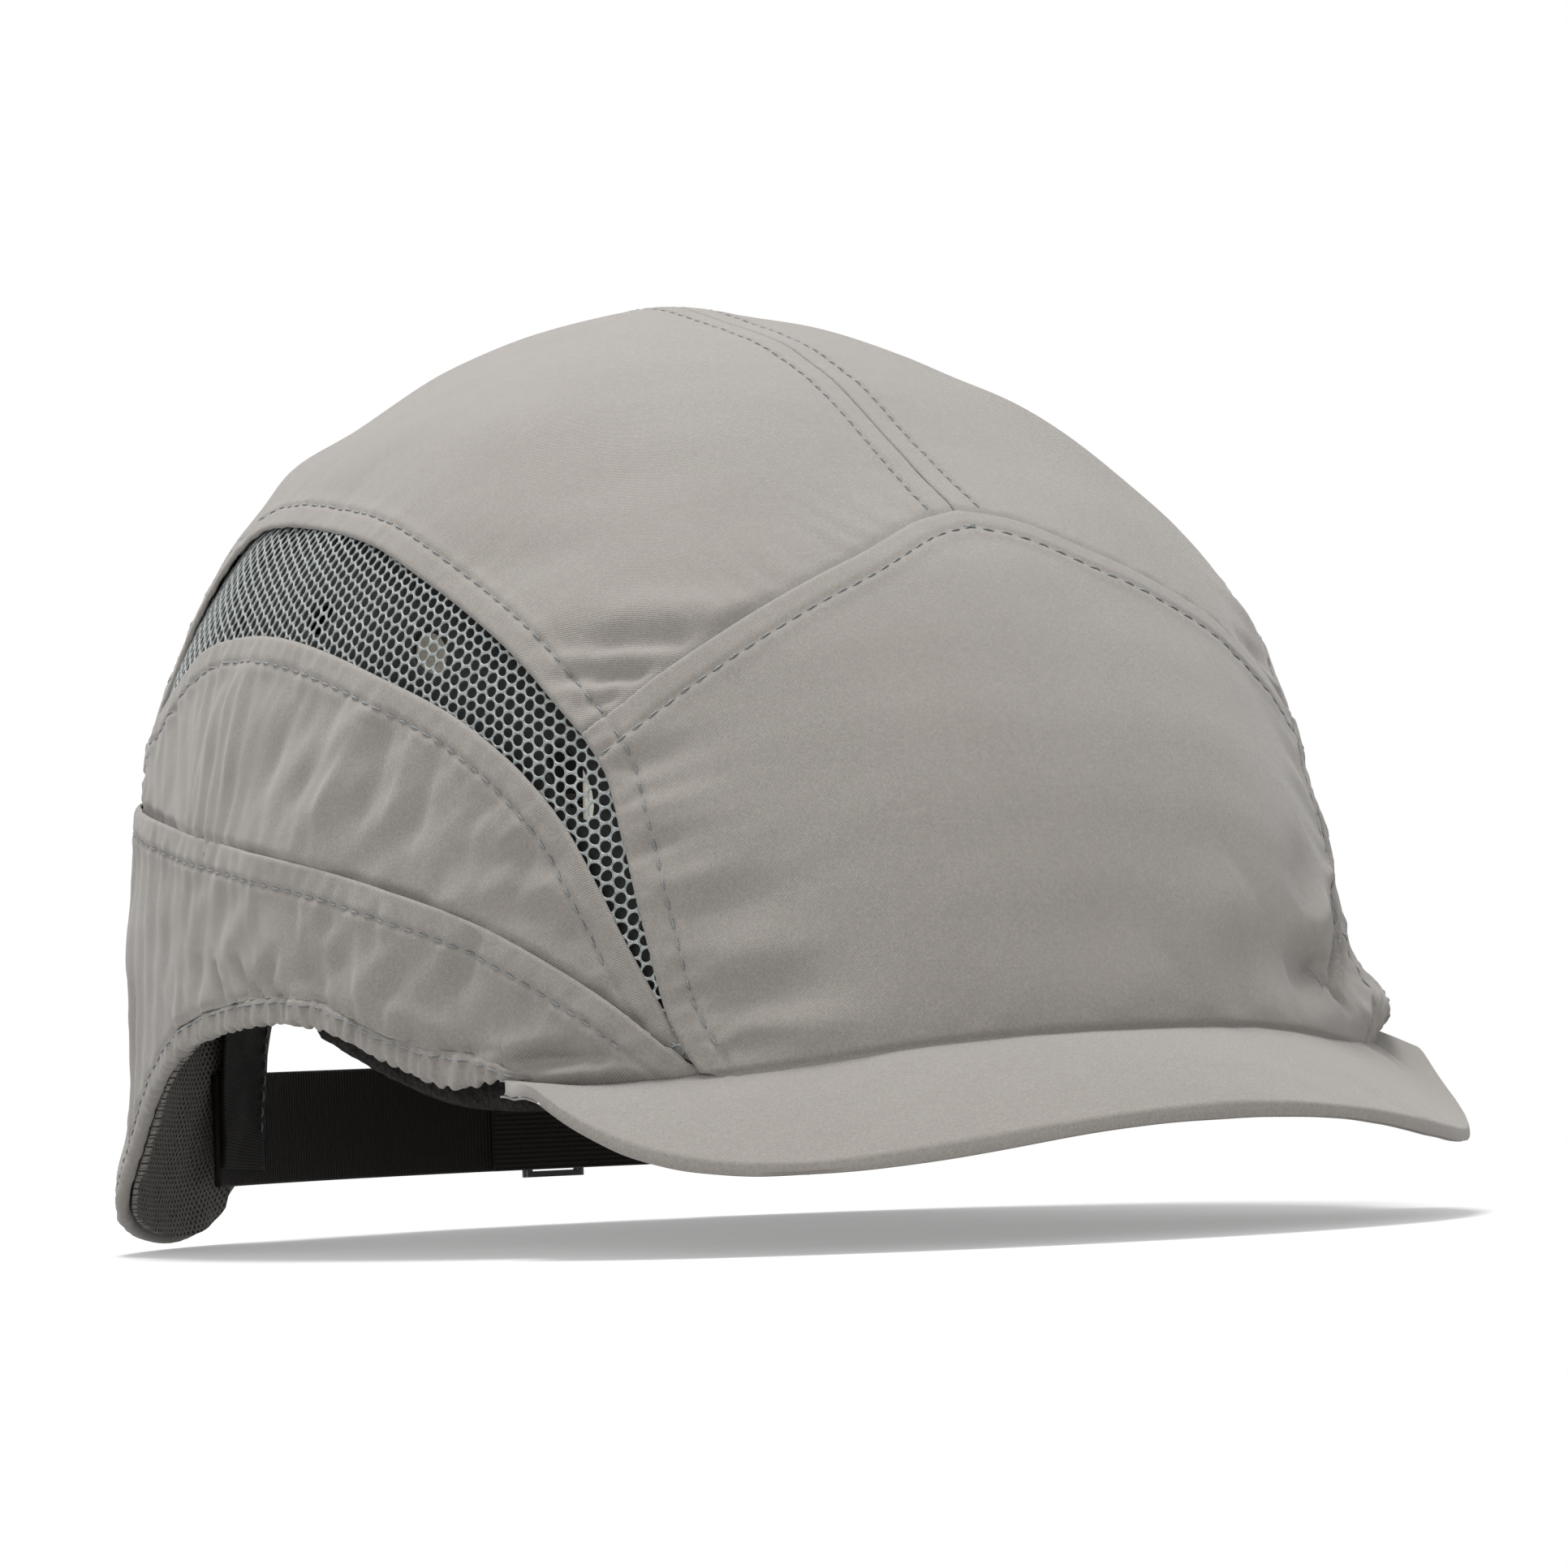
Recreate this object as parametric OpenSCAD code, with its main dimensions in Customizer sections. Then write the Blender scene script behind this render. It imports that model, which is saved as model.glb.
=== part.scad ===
// Bump cap: a sewn cap with mesh vents and a short peak over a hard inner shell.
// Frame: +Z up, the peak points to -Y, the wearer's left is +X. The origin is the centre
// of the head opening, level with the two ends of the peak's seam.
// Places on the cap are given as an angle round the head, 0 at the front and positive to
// the wearer's left, and a height. Every layer is the same surface at its own depth.

/* [Cap body] */
// Half width of the cap at its rim
rim_half_width = 87; // [80:0.5:92]
// Reach of the rim from the widest line to the front
rim_front_reach = 118.5; // [110:0.5:125]
// Reach of the rim from the widest line to the back
rim_rear_reach = 91; // [84:0.5:98]
// Place of the widest line behind the origin
widest_y = 13; // [8:1:18]
// Height of the crown above the origin
crown_height = 115; // [108:1:122]
// How much shorter the front reach is at the crown than at the rim
front_lean = 5.5; // [0:0.5:8]
// How much shorter the rear reach is at the crown than at the rim
rear_lean = 2; // [0:0.5:6]

/* [Layers] */
// Thickness of the outer fabric
fabric_t = 0.8; // [0.4:0.1:1]
// Thickness of the knitted lining
lining_t = 1.2; // [0.8:0.1:1.5]
// Thickness of the hard shell
shell_t = 2; // [1.5:0.1:2.2]
// Thickness of the foam pads
foam_t = 5; // [3:0.5:6]
// Thickness of the sweatband
sweatband_t = 2; // [1.5:0.1:2.5]
// Gap left between two layers or two panels
layer_gap = 0.3; // [0.2:0.05:0.4]

/* [Peak] */
// Half width of the peak
peak_half_width = 76.5; // [72:0.5:79]
// Line that the round of the peak's edge is centred on
peak_centre_y = -51.5; // [-56:0.5:-48]
// Reach of the peak's edge in front of that line
peak_reach = 77.5; // [72:0.5:82]
// Fall of the peak's edge for each millimetre forward
peak_slope = 1; // [0.8:0.01:1.1]
// Arch of the peak's edge across its width
peak_arch = 0.0096; // [0.008:0.0001:0.011]
// Thickness of the stiff board in the peak
peak_board_t = 1.1; // [0.8:0.1:1.6]
// Thickness of the fabric on each side of the board
peak_cover_t = 0.35; // [0.3:0.05:0.5]

/* [Hem and arch] */
// Width of the elastic hem round the ears
hem_w = 4; // [3:0.5:5]
// Half angle of the opening at the back of the head
arch_half_angle = 28; // [24:1:30]
// Height of that opening's top edge
arch_top_z = 30; // [26:1:34]
// Height that the two sides of that opening start from
arch_foot_z = -18; // [-19:0.5:-17]
// Width of the binding round that opening
arch_binding_w = 3.5; // [3:0.5:4.5]

/* [Strap] */
// Width of the strap
strap_w = 18; // [15:1:20]
// Thickness of the strap
strap_t = 1.1; // [0.8:0.1:1.3]
// Top edge of the strap
strap_top_z = 0; // [-1:0.5:1]
// Diameter of the buckle's two bars
bar_d = 1.8; // [1.6:0.1:2.2]
// Room between a bar and the webbing round it
bar_clearance = 0.6; // [0.5:0.1:0.8]
// Angle between the buckle's two bars, seen from the strap's centre
bar_spacing_a = 6.1; // [6:0.1:7]

/* [Hidden] */
$fn = 48;

fabric_c = [0.52, 0.49, 0.47];
mesh_c = [0.42, 0.46, 0.45];
black_c = [0.08, 0.08, 0.08];
shell_c = [0.16, 0.18, 0.20];
foam_c = [0.75, 0.72, 0.62];
knit_c = [0.25, 0.25, 0.26];
board_c = [0.85, 0.85, 0.82];

// Depths of the layers below the outside of the cap
lining_d = fabric_t + layer_gap;
tape_d = fabric_t + layer_gap;
tape_t = 0.3;
shell_d = tape_d + tape_t + 0.5;
foam_d = shell_d + shell_t + 0.8;
elastic_t = 0.8;

// Seam lines, each a list of [angle, height]
front_seam = [[0, 76], [8, 74], [18, 68.5], [28, 62.5], [38, 54], [47, 44]];
mesh_front_edge = [[40, 2], [41, 6], [42, 14], [43.5, 27], [45, 38], [47, 44]];
mesh_upper_edge = [[47, 44], [53, 55], [59, 63], [65, 69], [72, 74.5], [81, 78.5], [90, 80],
                   [97, 79], [103, 71.5], [109, 60], [118, 50]];
mesh_lower_edge = [[40, 2], [43, 12], [49, 32.5], [57, 46], [68, 55.5], [78, 61.5], [88, 64],
                   [97, 62.5], [105, 57], [118, 50]];
rear_seam = [[118, 50], [132, 51], [150, 54], [180, 58]];
band_top = [[38, -2.8], [40, -0.5], [46, 8], [56, 18.4], [68, 26], [82, 32], [98, 37.6],
            [114, 41.3], [135, 43.5], [180, 45]];
peak_seam = [[0, 1], [10, 0.8], [20, -0.2], [30, -2], [40, -3.5], [48, -3.8], [55, -2.7]];
hem_edge = [[55, -2.7], [60, -2.5], [66, 0.5], [72, 5], [78, 6.6], [86, 5.5], [95, 1.7],
            [105, -6], [115, -16], [125, -23], [135, -26], [142, -26.2], [148, -23.5], [152, -18]];
shell_edge = [[0, 3], [36, 1], [44, 5], [52, 24], [64, 44], [78, 52], [92, 54], [104, 50],
              [120, 44], [180, 46]];
sweatband_edge = [[0, -1], [30, -4], [48, -7], [60, -6.5], [68, -2], [76, 4.5]];

peak_corner_a = 55;
mesh_tip_a = 40;
mesh_top_a = 47;
mesh_rear_a = 118;
arch_side_a = 180 - arch_half_angle;

strap_centre_y = widest_y + 7;
strap_r = rim_rear_reach + widest_y - strap_centre_y - lining_d - lining_t - layer_gap - strap_t;
bar_r = strap_r + strap_t + bar_clearance + bar_d / 2;
strap_bar_a = 10.2;
anchor_bar_a = strap_bar_a + bar_spacing_a;
flap_sew_a = 39;
tab_end_a = -6.4;
tab_gap_a = 1.7;
tab_lean = 4;
patch_a = 9;
patch_t = 0.5;
patch_w = 15;

// Smooth curve through a list of [x, value]
function span(list, x, i = 0) = i >= len(list) - 2 || x < list[i + 1][0] ? i : span(list, x, i + 1);
function slope(list, i) =
    let (a = list[max(i - 1, 0)], b = list[min(i + 1, len(list) - 1)])
    (b[1] - a[1]) / (b[0] - a[0]);
function curve(list, x) =
    let (
        i = span(list, x),
        step = list[i + 1][0] - list[i][0],
        s = min(max((x - list[i][0]) / step, 0), 1)
    )
    (2 * s ^ 3 - 3 * s ^ 2 + 1) * list[i][1] + (s ^ 3 - 2 * s ^ 2 + s) * step * slope(list, i)
    + (3 * s ^ 2 - 2 * s ^ 3) * list[i + 1][1] + (s ^ 3 - s ^ 2) * step * slope(list, i + 1);
function steps(from, to, count) = [for (i = [0:count]) from + (to - from) * i / count];
function line(list, angles, lift = 0) = [for (a = angles) [a, curve(list, a) + lift]];

// The two powers of the side profile at an angle: round at the front, fuller at the back
function blend(side, end, a) = side + (end - side) * cos(a) ^ 2;
function power_in(a) = blend(3.2, cos(a) > 0 ? 2.2 : 2.5, a);
function power_out(a) = blend(1.6, cos(a) > 0 ? 1.35 : 2.1, a);
function shrink(a, u) = u <= 0 ? 1 : (1 - min(u, 1) ^ power_in(a)) ^ (1 / power_out(a));
function height_at(a, g) = crown_height * (1 - g ^ power_out(a)) ^ (1 / power_in(a));

// Point of the cap's surface at an angle and a height, at a depth below the outside
function cap_point(at, depth) =
    let (
        u = at[1] / crown_height,
        g = shrink(at[0], u),
        front = cos(at[0]) > 0,
        reach = front ? rim_front_reach - front_lean * u : rim_rear_reach - rear_lean * u
    )
    [
        (rim_half_width - 0.5 * u - depth) * g * sin(at[0]),
        widest_y - (reach - depth) * g * cos(at[0]),
        at[1] - max(u, 0) * depth,
    ];
// The same point kept to the wearer's left of the centre seam
function left_point(at, depth) =
    let (p = cap_point(at, depth))
    [max(p.x, layer_gap / 2), p.y, p.z];

// Closed solid between two equal grids of points, rows from the bottom up. A ring closes
// on itself, tips are the outer and inner points that the last row runs to, and a cell is
// left out where open(row, column) is true.
module grid_solid(outer, inner, ring = false, tips = [], open = function(i, j) false) {
    rows = len(outer);
    cols = len(outer[0]);
    cells = ring ? cols : cols - 1;
    points = concat([for (row = outer) each row], [for (row = inner) each row], tips);
    below = rows * cols;
    tip = 2 * below;
    function at(i, j) = i * cols + j % cols;
    function full(i, j) =
        let (k = ring ? (j + cols) % cols : j)
        i >= 0 && i < rows - 1 && k >= 0 && k < cells && !open(i, k);
    function quad(a, b, c, d) = [[a, b, c], [a, c, d]];
    function wall(a, b) = quad(a, b, b + below, a + below);
    skin = [
        for (i = [0:rows - 2], j = [0:cells - 1])
            if (full(i, j))
                let (a = at(i, j), b = at(i, j + 1), c = at(i + 1, j + 1), d = at(i + 1, j))
                each concat(
                    quad(a, d, c, b),
                    quad(a + below, b + below, c + below, d + below),
                    full(i - 1, j) ? [] : wall(a, b),
                    full(i + 1, j) || (len(tips) > 0 && i == rows - 2) ? [] : wall(c, d),
                    full(i, j - 1) ? [] : wall(d, a),
                    full(i, j + 1) ? [] : wall(b, c)
                ),
    ];
    fan = len(tips) == 0 ? [] : [
        for (j = [0:cells - 1])
            let (a = at(rows - 1, j), b = at(rows - 1, j + 1))
            each [[a, tip, b], [a + below, b + below, tip + 1]],
    ];
    ends = len(tips) == 0 || ring ? [] : let (a = at(rows - 1, 0), b = at(rows - 1, cols - 1))
        concat(
            quad(tip, a, a + below, tip + 1),
            quad(b, tip, tip + 1, b + below)
        );
    polyhedron(points, concat(skin, fan, ends));
}

// Panel between a bottom and a top line of the surface
module panel(bottom, top, rows, depth, thickness, half = false) {
    function layer(d) = [
        for (i = [0:rows])
            [for (j = [0:len(bottom) - 1])
                let (at = bottom[j] + (top[j] - bottom[j]) * i / rows)
                half ? left_point(at, d) : cap_point(at, d)],
    ];
    grid_solid(layer(depth), layer(depth + thickness));
}

// Dome from a bottom line up to the crown's highest point
module dome(bottom, rows, depth, thickness, half = false, ring = false,
            open = function(i, j) false) {
    function layer(d) = [
        for (i = [0:rows - 1])
            [for (at = bottom)
                let (p = [at[0], at[1] + (crown_height - at[1]) * sin(90 * i / rows)])
                half ? left_point(p, d) : cap_point(p, d)],
    ];
    function top(d) = [half ? layer_gap / 2 : 0, widest_y, crown_height - d];
    grid_solid(layer(depth), layer(depth + thickness), ring,
               [top(depth), top(depth + thickness)], open);
}

module both_sides(side) {
    if (side == "left") children();
    else mirror([1, 0, 0]) children();
}

// ---- outer fabric ----

function front_top(a) = abs(a) <= mesh_top_a ? curve(front_seam, abs(a)) : 0;
function front_bottom(a) =
    abs(a) >= mesh_tip_a ? curve(mesh_front_edge, abs(a)) : curve(peak_seam, abs(a)) + layer_gap;

module front_panel() {
    side = concat(steps(0, 36, 6), [39.5], steps(mesh_tip_a, mesh_top_a - 0.4, 7));
    angles = concat([for (i = [len(side) - 1:-1:1]) -side[i]], side);
    color(fabric_c)
        panel([for (a = angles) [a, front_bottom(a)]],
              [for (a = angles) [a, front_top(a) - layer_gap]], 6, 0, fabric_t);
}

module crown_panel(side) {
    bottom = concat(
        line(front_seam, steps(0, mesh_top_a, 8), layer_gap),
        line(mesh_upper_edge, steps(mesh_top_a + 5, mesh_rear_a, 12), layer_gap),
        line(rear_seam, steps(mesh_rear_a + 8, 180, 6), layer_gap)
    );
    color(fabric_c)
        both_sides(side)
            dome(bottom, 9, 0, fabric_t, half = true);
}

module mesh_vent(side) {
    front = steps(mesh_tip_a + 1.3, mesh_top_a, 7);
    rear = steps(mesh_top_a + 5, mesh_rear_a - 2, 12);
    color(mesh_c)
        both_sides(side)
            panel(line(mesh_lower_edge, concat(front, rear)),
                  concat(line(mesh_front_edge, front, -layer_gap), line(mesh_upper_edge, rear)),
                  3, 0.1, fabric_t - 0.1);
}

module side_panel(side) {
    front = steps(mesh_tip_a, mesh_rear_a, 16);
    rear = steps(mesh_rear_a + 8, 180, 6);
    color(fabric_c)
        both_sides(side)
            panel(line(band_top, concat(front, rear), layer_gap),
                  concat(line(mesh_lower_edge, front, -layer_gap), line(rear_seam, rear)),
                  2, 0, fabric_t, half = true);
}

// Edge of the opening at the back, from its side (0) to its top (90), moved out by grow
function arch_edge(t, grow = 0) = [
    180 - (arch_half_angle + grow / 1.5) * cos(t) ^ 0.75,
    arch_foot_z + (arch_top_z - arch_foot_z + grow) * sin(t) ^ 0.75,
];
arch_steps = steps(0, 90, 9);
ear_steps = steps(peak_corner_a, 145, 18);
band_front = concat(steps(38.5, peak_corner_a - 3, 4), ear_steps);
// The hem's width grows from nothing at the end of the peak
function hem_top(a) = curve(hem_edge, a) + (a > peak_corner_a ? hem_w : layer_gap);

module rear_band(side) {
    edge = [for (a = band_front)
        [a, a < peak_corner_a ? curve(peak_seam, a) + layer_gap : hem_top(a) + layer_gap]];
    arch_angles = [for (t = arch_steps) arch_side_a + (180 - arch_side_a) * t / 90];
    color(fabric_c)
        both_sides(side)
            panel(concat(edge, [for (t = arch_steps) arch_edge(t, arch_binding_w + layer_gap)]),
                  line(band_top, concat(band_front, arch_angles)), 4, 0, fabric_t, half = true);
}

// ---- edges of the sewn cap ----

module ear_hem(side) {
    angles = concat(ear_steps, [148]);
    color(fabric_c)
        both_sides(side)
            panel(line(hem_edge, angles), [for (a = angles) [a, hem_top(a) - layer_gap / 2]],
                  1, 0, fabric_t);
}

module ear_elastic(side) {
    margin = 0.5;
    angles = [for (i = [1:len(ear_steps) - 1]) ear_steps[i]];
    color(black_c)
        both_sides(side)
            panel(line(hem_edge, angles, margin), line(hem_edge, angles, hem_w - margin),
                  1, fabric_t + layer_gap, elastic_t);
}

module arch_binding() {
    turns = steps(4, 176, 24);
    function round_arch(t, grow) =
        let (p = arch_edge(t <= 90 ? t : 180 - t, grow))
        [t <= 90 ? p[0] : 360 - p[0], p[1]];
    color(fabric_c)
        panel([for (t = turns) round_arch(t, 0)],
              [for (t = turns) round_arch(t, arch_binding_w)], 1, 0, fabric_t + 1);
}

module centre_seam_tape() {
    half_w = 3;
    front = [for (g = steps(shrink(0, 0.69), 0.06, 11)) [0, height_at(0, g)]];
    rear = [for (g = steps(0.06, shrink(180, 0.52), 11)) [180, height_at(180, g)]];
    function layer(d) = [
        for (x = [-half_w, half_w])
            [for (at = concat(front, rear)) cap_point(at, d) + [x, 0, 0]],
    ];
    color(black_c)
        mirror([1, 0, 0])
            grid_solid(layer(tape_d), layer(tape_d + tape_t));
}

// ---- peak ----

// Point of the peak's top: across runs from -1 to 1, out from 0 at the seam to 1 at the edge
function peak_point(across, out, depth) =
    let (
        root = cap_point([across * peak_corner_a, curve(peak_seam, abs(across) * peak_corner_a)], 0),
        turn = across * 86,
        x = peak_half_width * sin(turn),
        y = peak_centre_y - peak_reach * cos(turn),
        rise = y + 105,
        lift = rise < 34 ? rise : 38 - 4 * exp((34 - rise) / 4),
        z = 14.3 - peak_arch * x ^ 2 + peak_slope * lift,
        corner = max((abs(across) - 0.9) / 0.1, 0),
        edge = [x, y, z] + (root + [0, -1, 0] - [x, y, z]) * corner ^ 1.5,
        crown = 1.2 * sin(180 * out) * (1 - across ^ 2)
    )
    root + (edge - root) * out + [0, 0, crown - depth];

peak_gap = 0.2;
peak_columns = concat([-1, -0.985], steps(-0.95, 0.95, 24), [0.985, 1]);

// One layer of the peak, with columns left out at each end and a margin at its edge
module peak_layer(depth, thickness, ends = 0, margin = 0) {
    across = [for (i = [ends:len(peak_columns) - 1 - ends]) peak_columns[i]];
    out = steps(0.03, 1 - margin, 4);
    function layer(d) = [for (o = [4:-1:0]) [for (a = across) peak_point(a, out[o], d)]];
    grid_solid(layer(depth), layer(depth + thickness));
}

module brim_cover_top() {
    color(fabric_c) peak_layer(0, peak_cover_t);
}

module brim_board() {
    color(board_c) peak_layer(peak_cover_t + peak_gap, peak_board_t, 1, 0.015);
}

module brim_cover_under() {
    color(fabric_c) peak_layer(peak_cover_t + peak_board_t + 2 * peak_gap, peak_cover_t);
}

// ---- inside the cap ----

shell_step_a = 7.5;
function fold(a) = a <= 180 ? a : 360 - a;
// Vent holes of the shell lie in a row under each mesh panel
function is_vent(i, j) =
    let (a = fold((j + 0.5) * shell_step_a))
    i == 1 && a > 45 && a < 105 && floor(a / shell_step_a) % 2 == 0;

module shell() {
    angles = [0:shell_step_a:360 - shell_step_a];
    color(shell_c)
        dome([for (a = angles) [a, curve(shell_edge, fold(a))]], 10, shell_d, shell_t,
             ring = true, open = function(i, j) is_vent(i, j));
}

module pad(from, to, low, high, columns, rows) {
    angles = steps(from, to, columns);
    color(foam_c)
        panel([for (a = angles) [a, max(low, curve(shell_edge, fold(abs(a))) + 2)]],
              [for (a = angles) [a, high]], rows, foam_d, foam_t);
}

module foam_top() {
    bottom = [for (a = [0:15:345]) [a, height_at(a, 0.5)]];
    color(foam_c)
        dome(bottom, 3, foam_d, foam_t, ring = true);
}

module sweatband() {
    angles = steps(-76, 76, 24);
    color(black_c)
        panel([for (a = angles) [a, curve(sweatband_edge, abs(a))]], [for (a = angles) [a, 22]],
              2, foam_d, sweatband_t);
}

module lining(side) {
    low = steps(80, 147, 11);
    arch_angles = [for (t = arch_steps) arch_side_a + (178 - arch_side_a) * t / 90];
    color(knit_c)
        both_sides(side)
            panel(concat(line(hem_edge, low, hem_w + 0.3),
                         [for (t = arch_steps) arch_edge(t, arch_binding_w + 0.8)]),
                  line(band_top, concat(low, arch_angles), -1), 3, lining_d, lining_t, half = true);
}

// ---- strap at the back, on a circle of its own ----

// Angles here are from the middle of the back, positive to the wearer's left
module at_strap(a, r = 0) {
    translate([0, strap_centre_y, strap_top_z])
        rotate(90 - a)
            translate([r, 0, 0])
                children();
}

module arc_strip(start, end, r, t = strap_t, w = strap_w) {
    at_strap(start)
        mirror([0, end > start ? 1 : 0, 0])
            rotate_extrude(angle = abs(end - start))
                translate([r, -(strap_w + w) / 2])
                    square([t, w]);
}

// Half loop of webbing round a bar, opening towards the side that turn points to
module bar_loop(a, turn) {
    at_strap(a, bar_r)
        rotate(turn)
            rotate_extrude(angle = 180)
                translate([bar_d / 2 + bar_clearance, -strap_w])
                    square([strap_t, strap_w]);
}

tab_r = bar_r + bar_d / 2 + bar_clearance;

// Turns the tab inwards about the bar it folds round, so that its end lies on the strap
module at_tab() {
    bar = [bar_r * sin(strap_bar_a), strap_centre_y + bar_r * cos(strap_bar_a), 0];
    translate(bar)
        rotate(tab_lean)
            translate(-bar)
                children();
}

module strap_elastic() {
    color(black_c) {
        arc_strip(strap_bar_a, -flap_sew_a, strap_r);
        bar_loop(strap_bar_a, 180);
    }
}

module strap_tab() {
    color(black_c)
        at_tab() arc_strip(strap_bar_a - tab_gap_a, tab_end_a, tab_r);
}

module hook_patch() {
    color(black_c)
        at_tab() arc_strip(tab_end_a + patch_a, tab_end_a + 0.6, tab_r - patch_t, patch_t, patch_w);
}

module loop_patch() {
    color(black_c)
        arc_strip(tab_end_a + patch_a, tab_end_a + 0.6, strap_r + strap_t, patch_t, patch_w);
}

module anchor_webbing() {
    color(black_c) {
        arc_strip(anchor_bar_a, flap_sew_a, strap_r);
        bar_loop(anchor_bar_a, 0);
        arc_strip(anchor_bar_a, anchor_bar_a + 6, tab_r);
    }
}

// Strip behind the buckle that keeps hair out of it, sewn to the anchor webbing
module buckle_backing() {
    backing_t = 0.8;
    color(black_c)
        arc_strip(strap_bar_a - 5, anchor_bar_a + 8, strap_r - layer_gap - backing_t, backing_t);
}

module slot_buckle() {
    rail_h = 1;
    rail_gap = 0.3;
    rail_l = 2 * bar_r * sin(bar_spacing_a / 2);
    mid_a = (strap_bar_a + anchor_bar_a) / 2;
    rails = [rail_gap, -strap_w - rail_gap - rail_h];
    color(black_c) {
        for (a = [strap_bar_a, anchor_bar_a])
            at_strap(a, bar_r)
                translate([0, 0, rails[1]])
                    cylinder(h = rails[0] - rails[1] + rail_h, d = bar_d);
        for (z = rails)
            at_strap(mid_a, bar_r * cos(bar_spacing_a / 2))
                translate([-bar_d / 2, -rail_l / 2, z])
                    cube([bar_d, rail_l, rail_h]);
    }
}

front_panel();
crown_panel("left");  // crown_panel_left
crown_panel("right");  // crown_panel_right
mesh_vent("left");  // mesh_vent_left
mesh_vent("right");  // mesh_vent_right
side_panel("left");  // side_panel_left
side_panel("right");  // side_panel_right
rear_band("left");  // rear_band_left
rear_band("right");  // rear_band_right
ear_hem("left");  // ear_hem_left
ear_hem("right");  // ear_hem_right
ear_elastic("left");  // ear_elastic_left
ear_elastic("right");  // ear_elastic_right
arch_binding();
centre_seam_tape();
brim_cover_top();
brim_board();
brim_cover_under();
shell();
pad(-54, 54, 26, 64, 16, 4);  // foam_front
foam_top();
pad(150, 210, 58, 84, 8, 3);  // foam_rear
pad(64, 112, 84, 98, 7, 2);  // foam_side_left
pad(248, 296, 84, 98, 7, 2);  // foam_side_right
sweatband();
lining("left");  // lining_left
lining("right");  // lining_right
strap_elastic();
loop_patch();
strap_tab();
hook_patch();
slot_buckle();
anchor_webbing();
buckle_backing();
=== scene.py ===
"""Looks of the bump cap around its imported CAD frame. Lengths are in millimetres until a mesh
is made; angles are in degrees round the head, 0 at the front and positive to the wearer's left."""
import math

import bpy
import numpy as np
from mathutils import Matrix
from mathutils.bvhtree import BVHTree
from mathutils.kdtree import KDTree


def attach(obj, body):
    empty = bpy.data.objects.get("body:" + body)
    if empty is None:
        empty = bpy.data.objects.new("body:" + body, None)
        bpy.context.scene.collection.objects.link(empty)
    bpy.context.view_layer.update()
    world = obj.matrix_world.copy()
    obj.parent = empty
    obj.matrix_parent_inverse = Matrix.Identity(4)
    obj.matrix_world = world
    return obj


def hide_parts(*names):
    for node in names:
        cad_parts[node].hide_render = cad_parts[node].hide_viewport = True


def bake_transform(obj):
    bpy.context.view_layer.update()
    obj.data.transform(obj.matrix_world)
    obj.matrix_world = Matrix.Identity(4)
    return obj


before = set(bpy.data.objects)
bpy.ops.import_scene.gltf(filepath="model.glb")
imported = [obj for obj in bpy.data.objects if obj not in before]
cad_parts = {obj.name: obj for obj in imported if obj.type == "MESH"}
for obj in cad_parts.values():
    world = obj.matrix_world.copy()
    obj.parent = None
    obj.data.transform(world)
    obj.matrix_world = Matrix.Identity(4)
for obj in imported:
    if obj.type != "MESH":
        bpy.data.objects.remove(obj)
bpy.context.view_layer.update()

# ---------------------------------------------------------------- camera
SENSOR_MM, PICTURE_PX, FOCAL_PX = 36, 1932, 7316.7
CAMERA_TURN, CAMERA_TILT, CAMERA_ROLL = -30.381, -2.703, 2.4
CAMERA_PLACE = [5.209, 40.5, 900.0]  # along the camera's own axes


def put(obj, axes, place):
    """Links an object whose own axes are the columns given, at a place in metres."""
    matrix = np.eye(4)
    matrix[:3, :3], matrix[:3, 3] = axes, place
    obj.matrix_world = Matrix(matrix.tolist())
    bpy.context.scene.collection.objects.link(obj)


turn, tilt, roll = map(math.radians, (CAMERA_TURN, CAMERA_TILT, CAMERA_ROLL))
right = np.array([math.cos(turn), math.sin(turn), 0.0])
back = np.array([math.sin(turn) * math.cos(tilt), -math.cos(turn) * math.cos(tilt), math.sin(tilt)])
up = np.cross(back, right)
camera_axes = np.stack([right * math.cos(roll) - up * math.sin(roll),
                        right * math.sin(roll) + up * math.cos(roll), back], 1)
lens = bpy.data.cameras.new("camera")
lens.sensor_width, lens.lens = SENSOR_MM, FOCAL_PX * SENSOR_MM / PICTURE_PX
lens.clip_start, lens.clip_end = 0.05, 20
camera = bpy.data.objects.new("camera", lens)
put(camera, camera_axes, camera_axes @ CAMERA_PLACE / 1000)
bpy.context.scene.camera = camera

# ---------------------------------------------------------------- the cap's surface
CROWN = 115.0
WIDEST_Y = 13.0
# Angles where the lines below end: the front panel's lower edge, the top of the vent's front,
# the vent's rear tip and the foot of the opening at the back
PEAK_END, VENT_TOP, VENT_REAR, ARCH_FOOT = 38.2, 47, 118, 152

# Seams and edges as lists of [angle, height]
FRONT_SEAM = [[0, 76], [8, 74], [18, 68.5], [28, 62.5], [38, 54], [47, 44]]
MESH_FRONT = [[38.2, -3.0], [39.2, -0.6], [40, 2], [41, 6], [42, 14], [43.5, 27], [45, 38],
              [47, 44]]
MESH_UPPER = [[47, 44], [53, 55], [59, 63], [65, 69], [72, 74.5], [81, 78.5], [90, 80],
              [97, 79], [103, 71.5], [109, 60], [118, 50]]
MESH_LOWER = [[40, 2], [43, 12], [49, 32.5], [57, 46], [68, 55.5], [78, 61.5], [88, 64],
              [97, 62.5], [105, 57], [118, 50]]
REAR_SEAM = [[118, 50], [132, 51], [150, 54], [180, 58]]
BAND_TOP = [[38, -2.8], [40, -0.5], [46, 8], [56, 18.4], [68, 26], [82, 32], [98, 37.6],
            [114, 41.3], [135, 43.5], [180, 45]]
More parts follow.
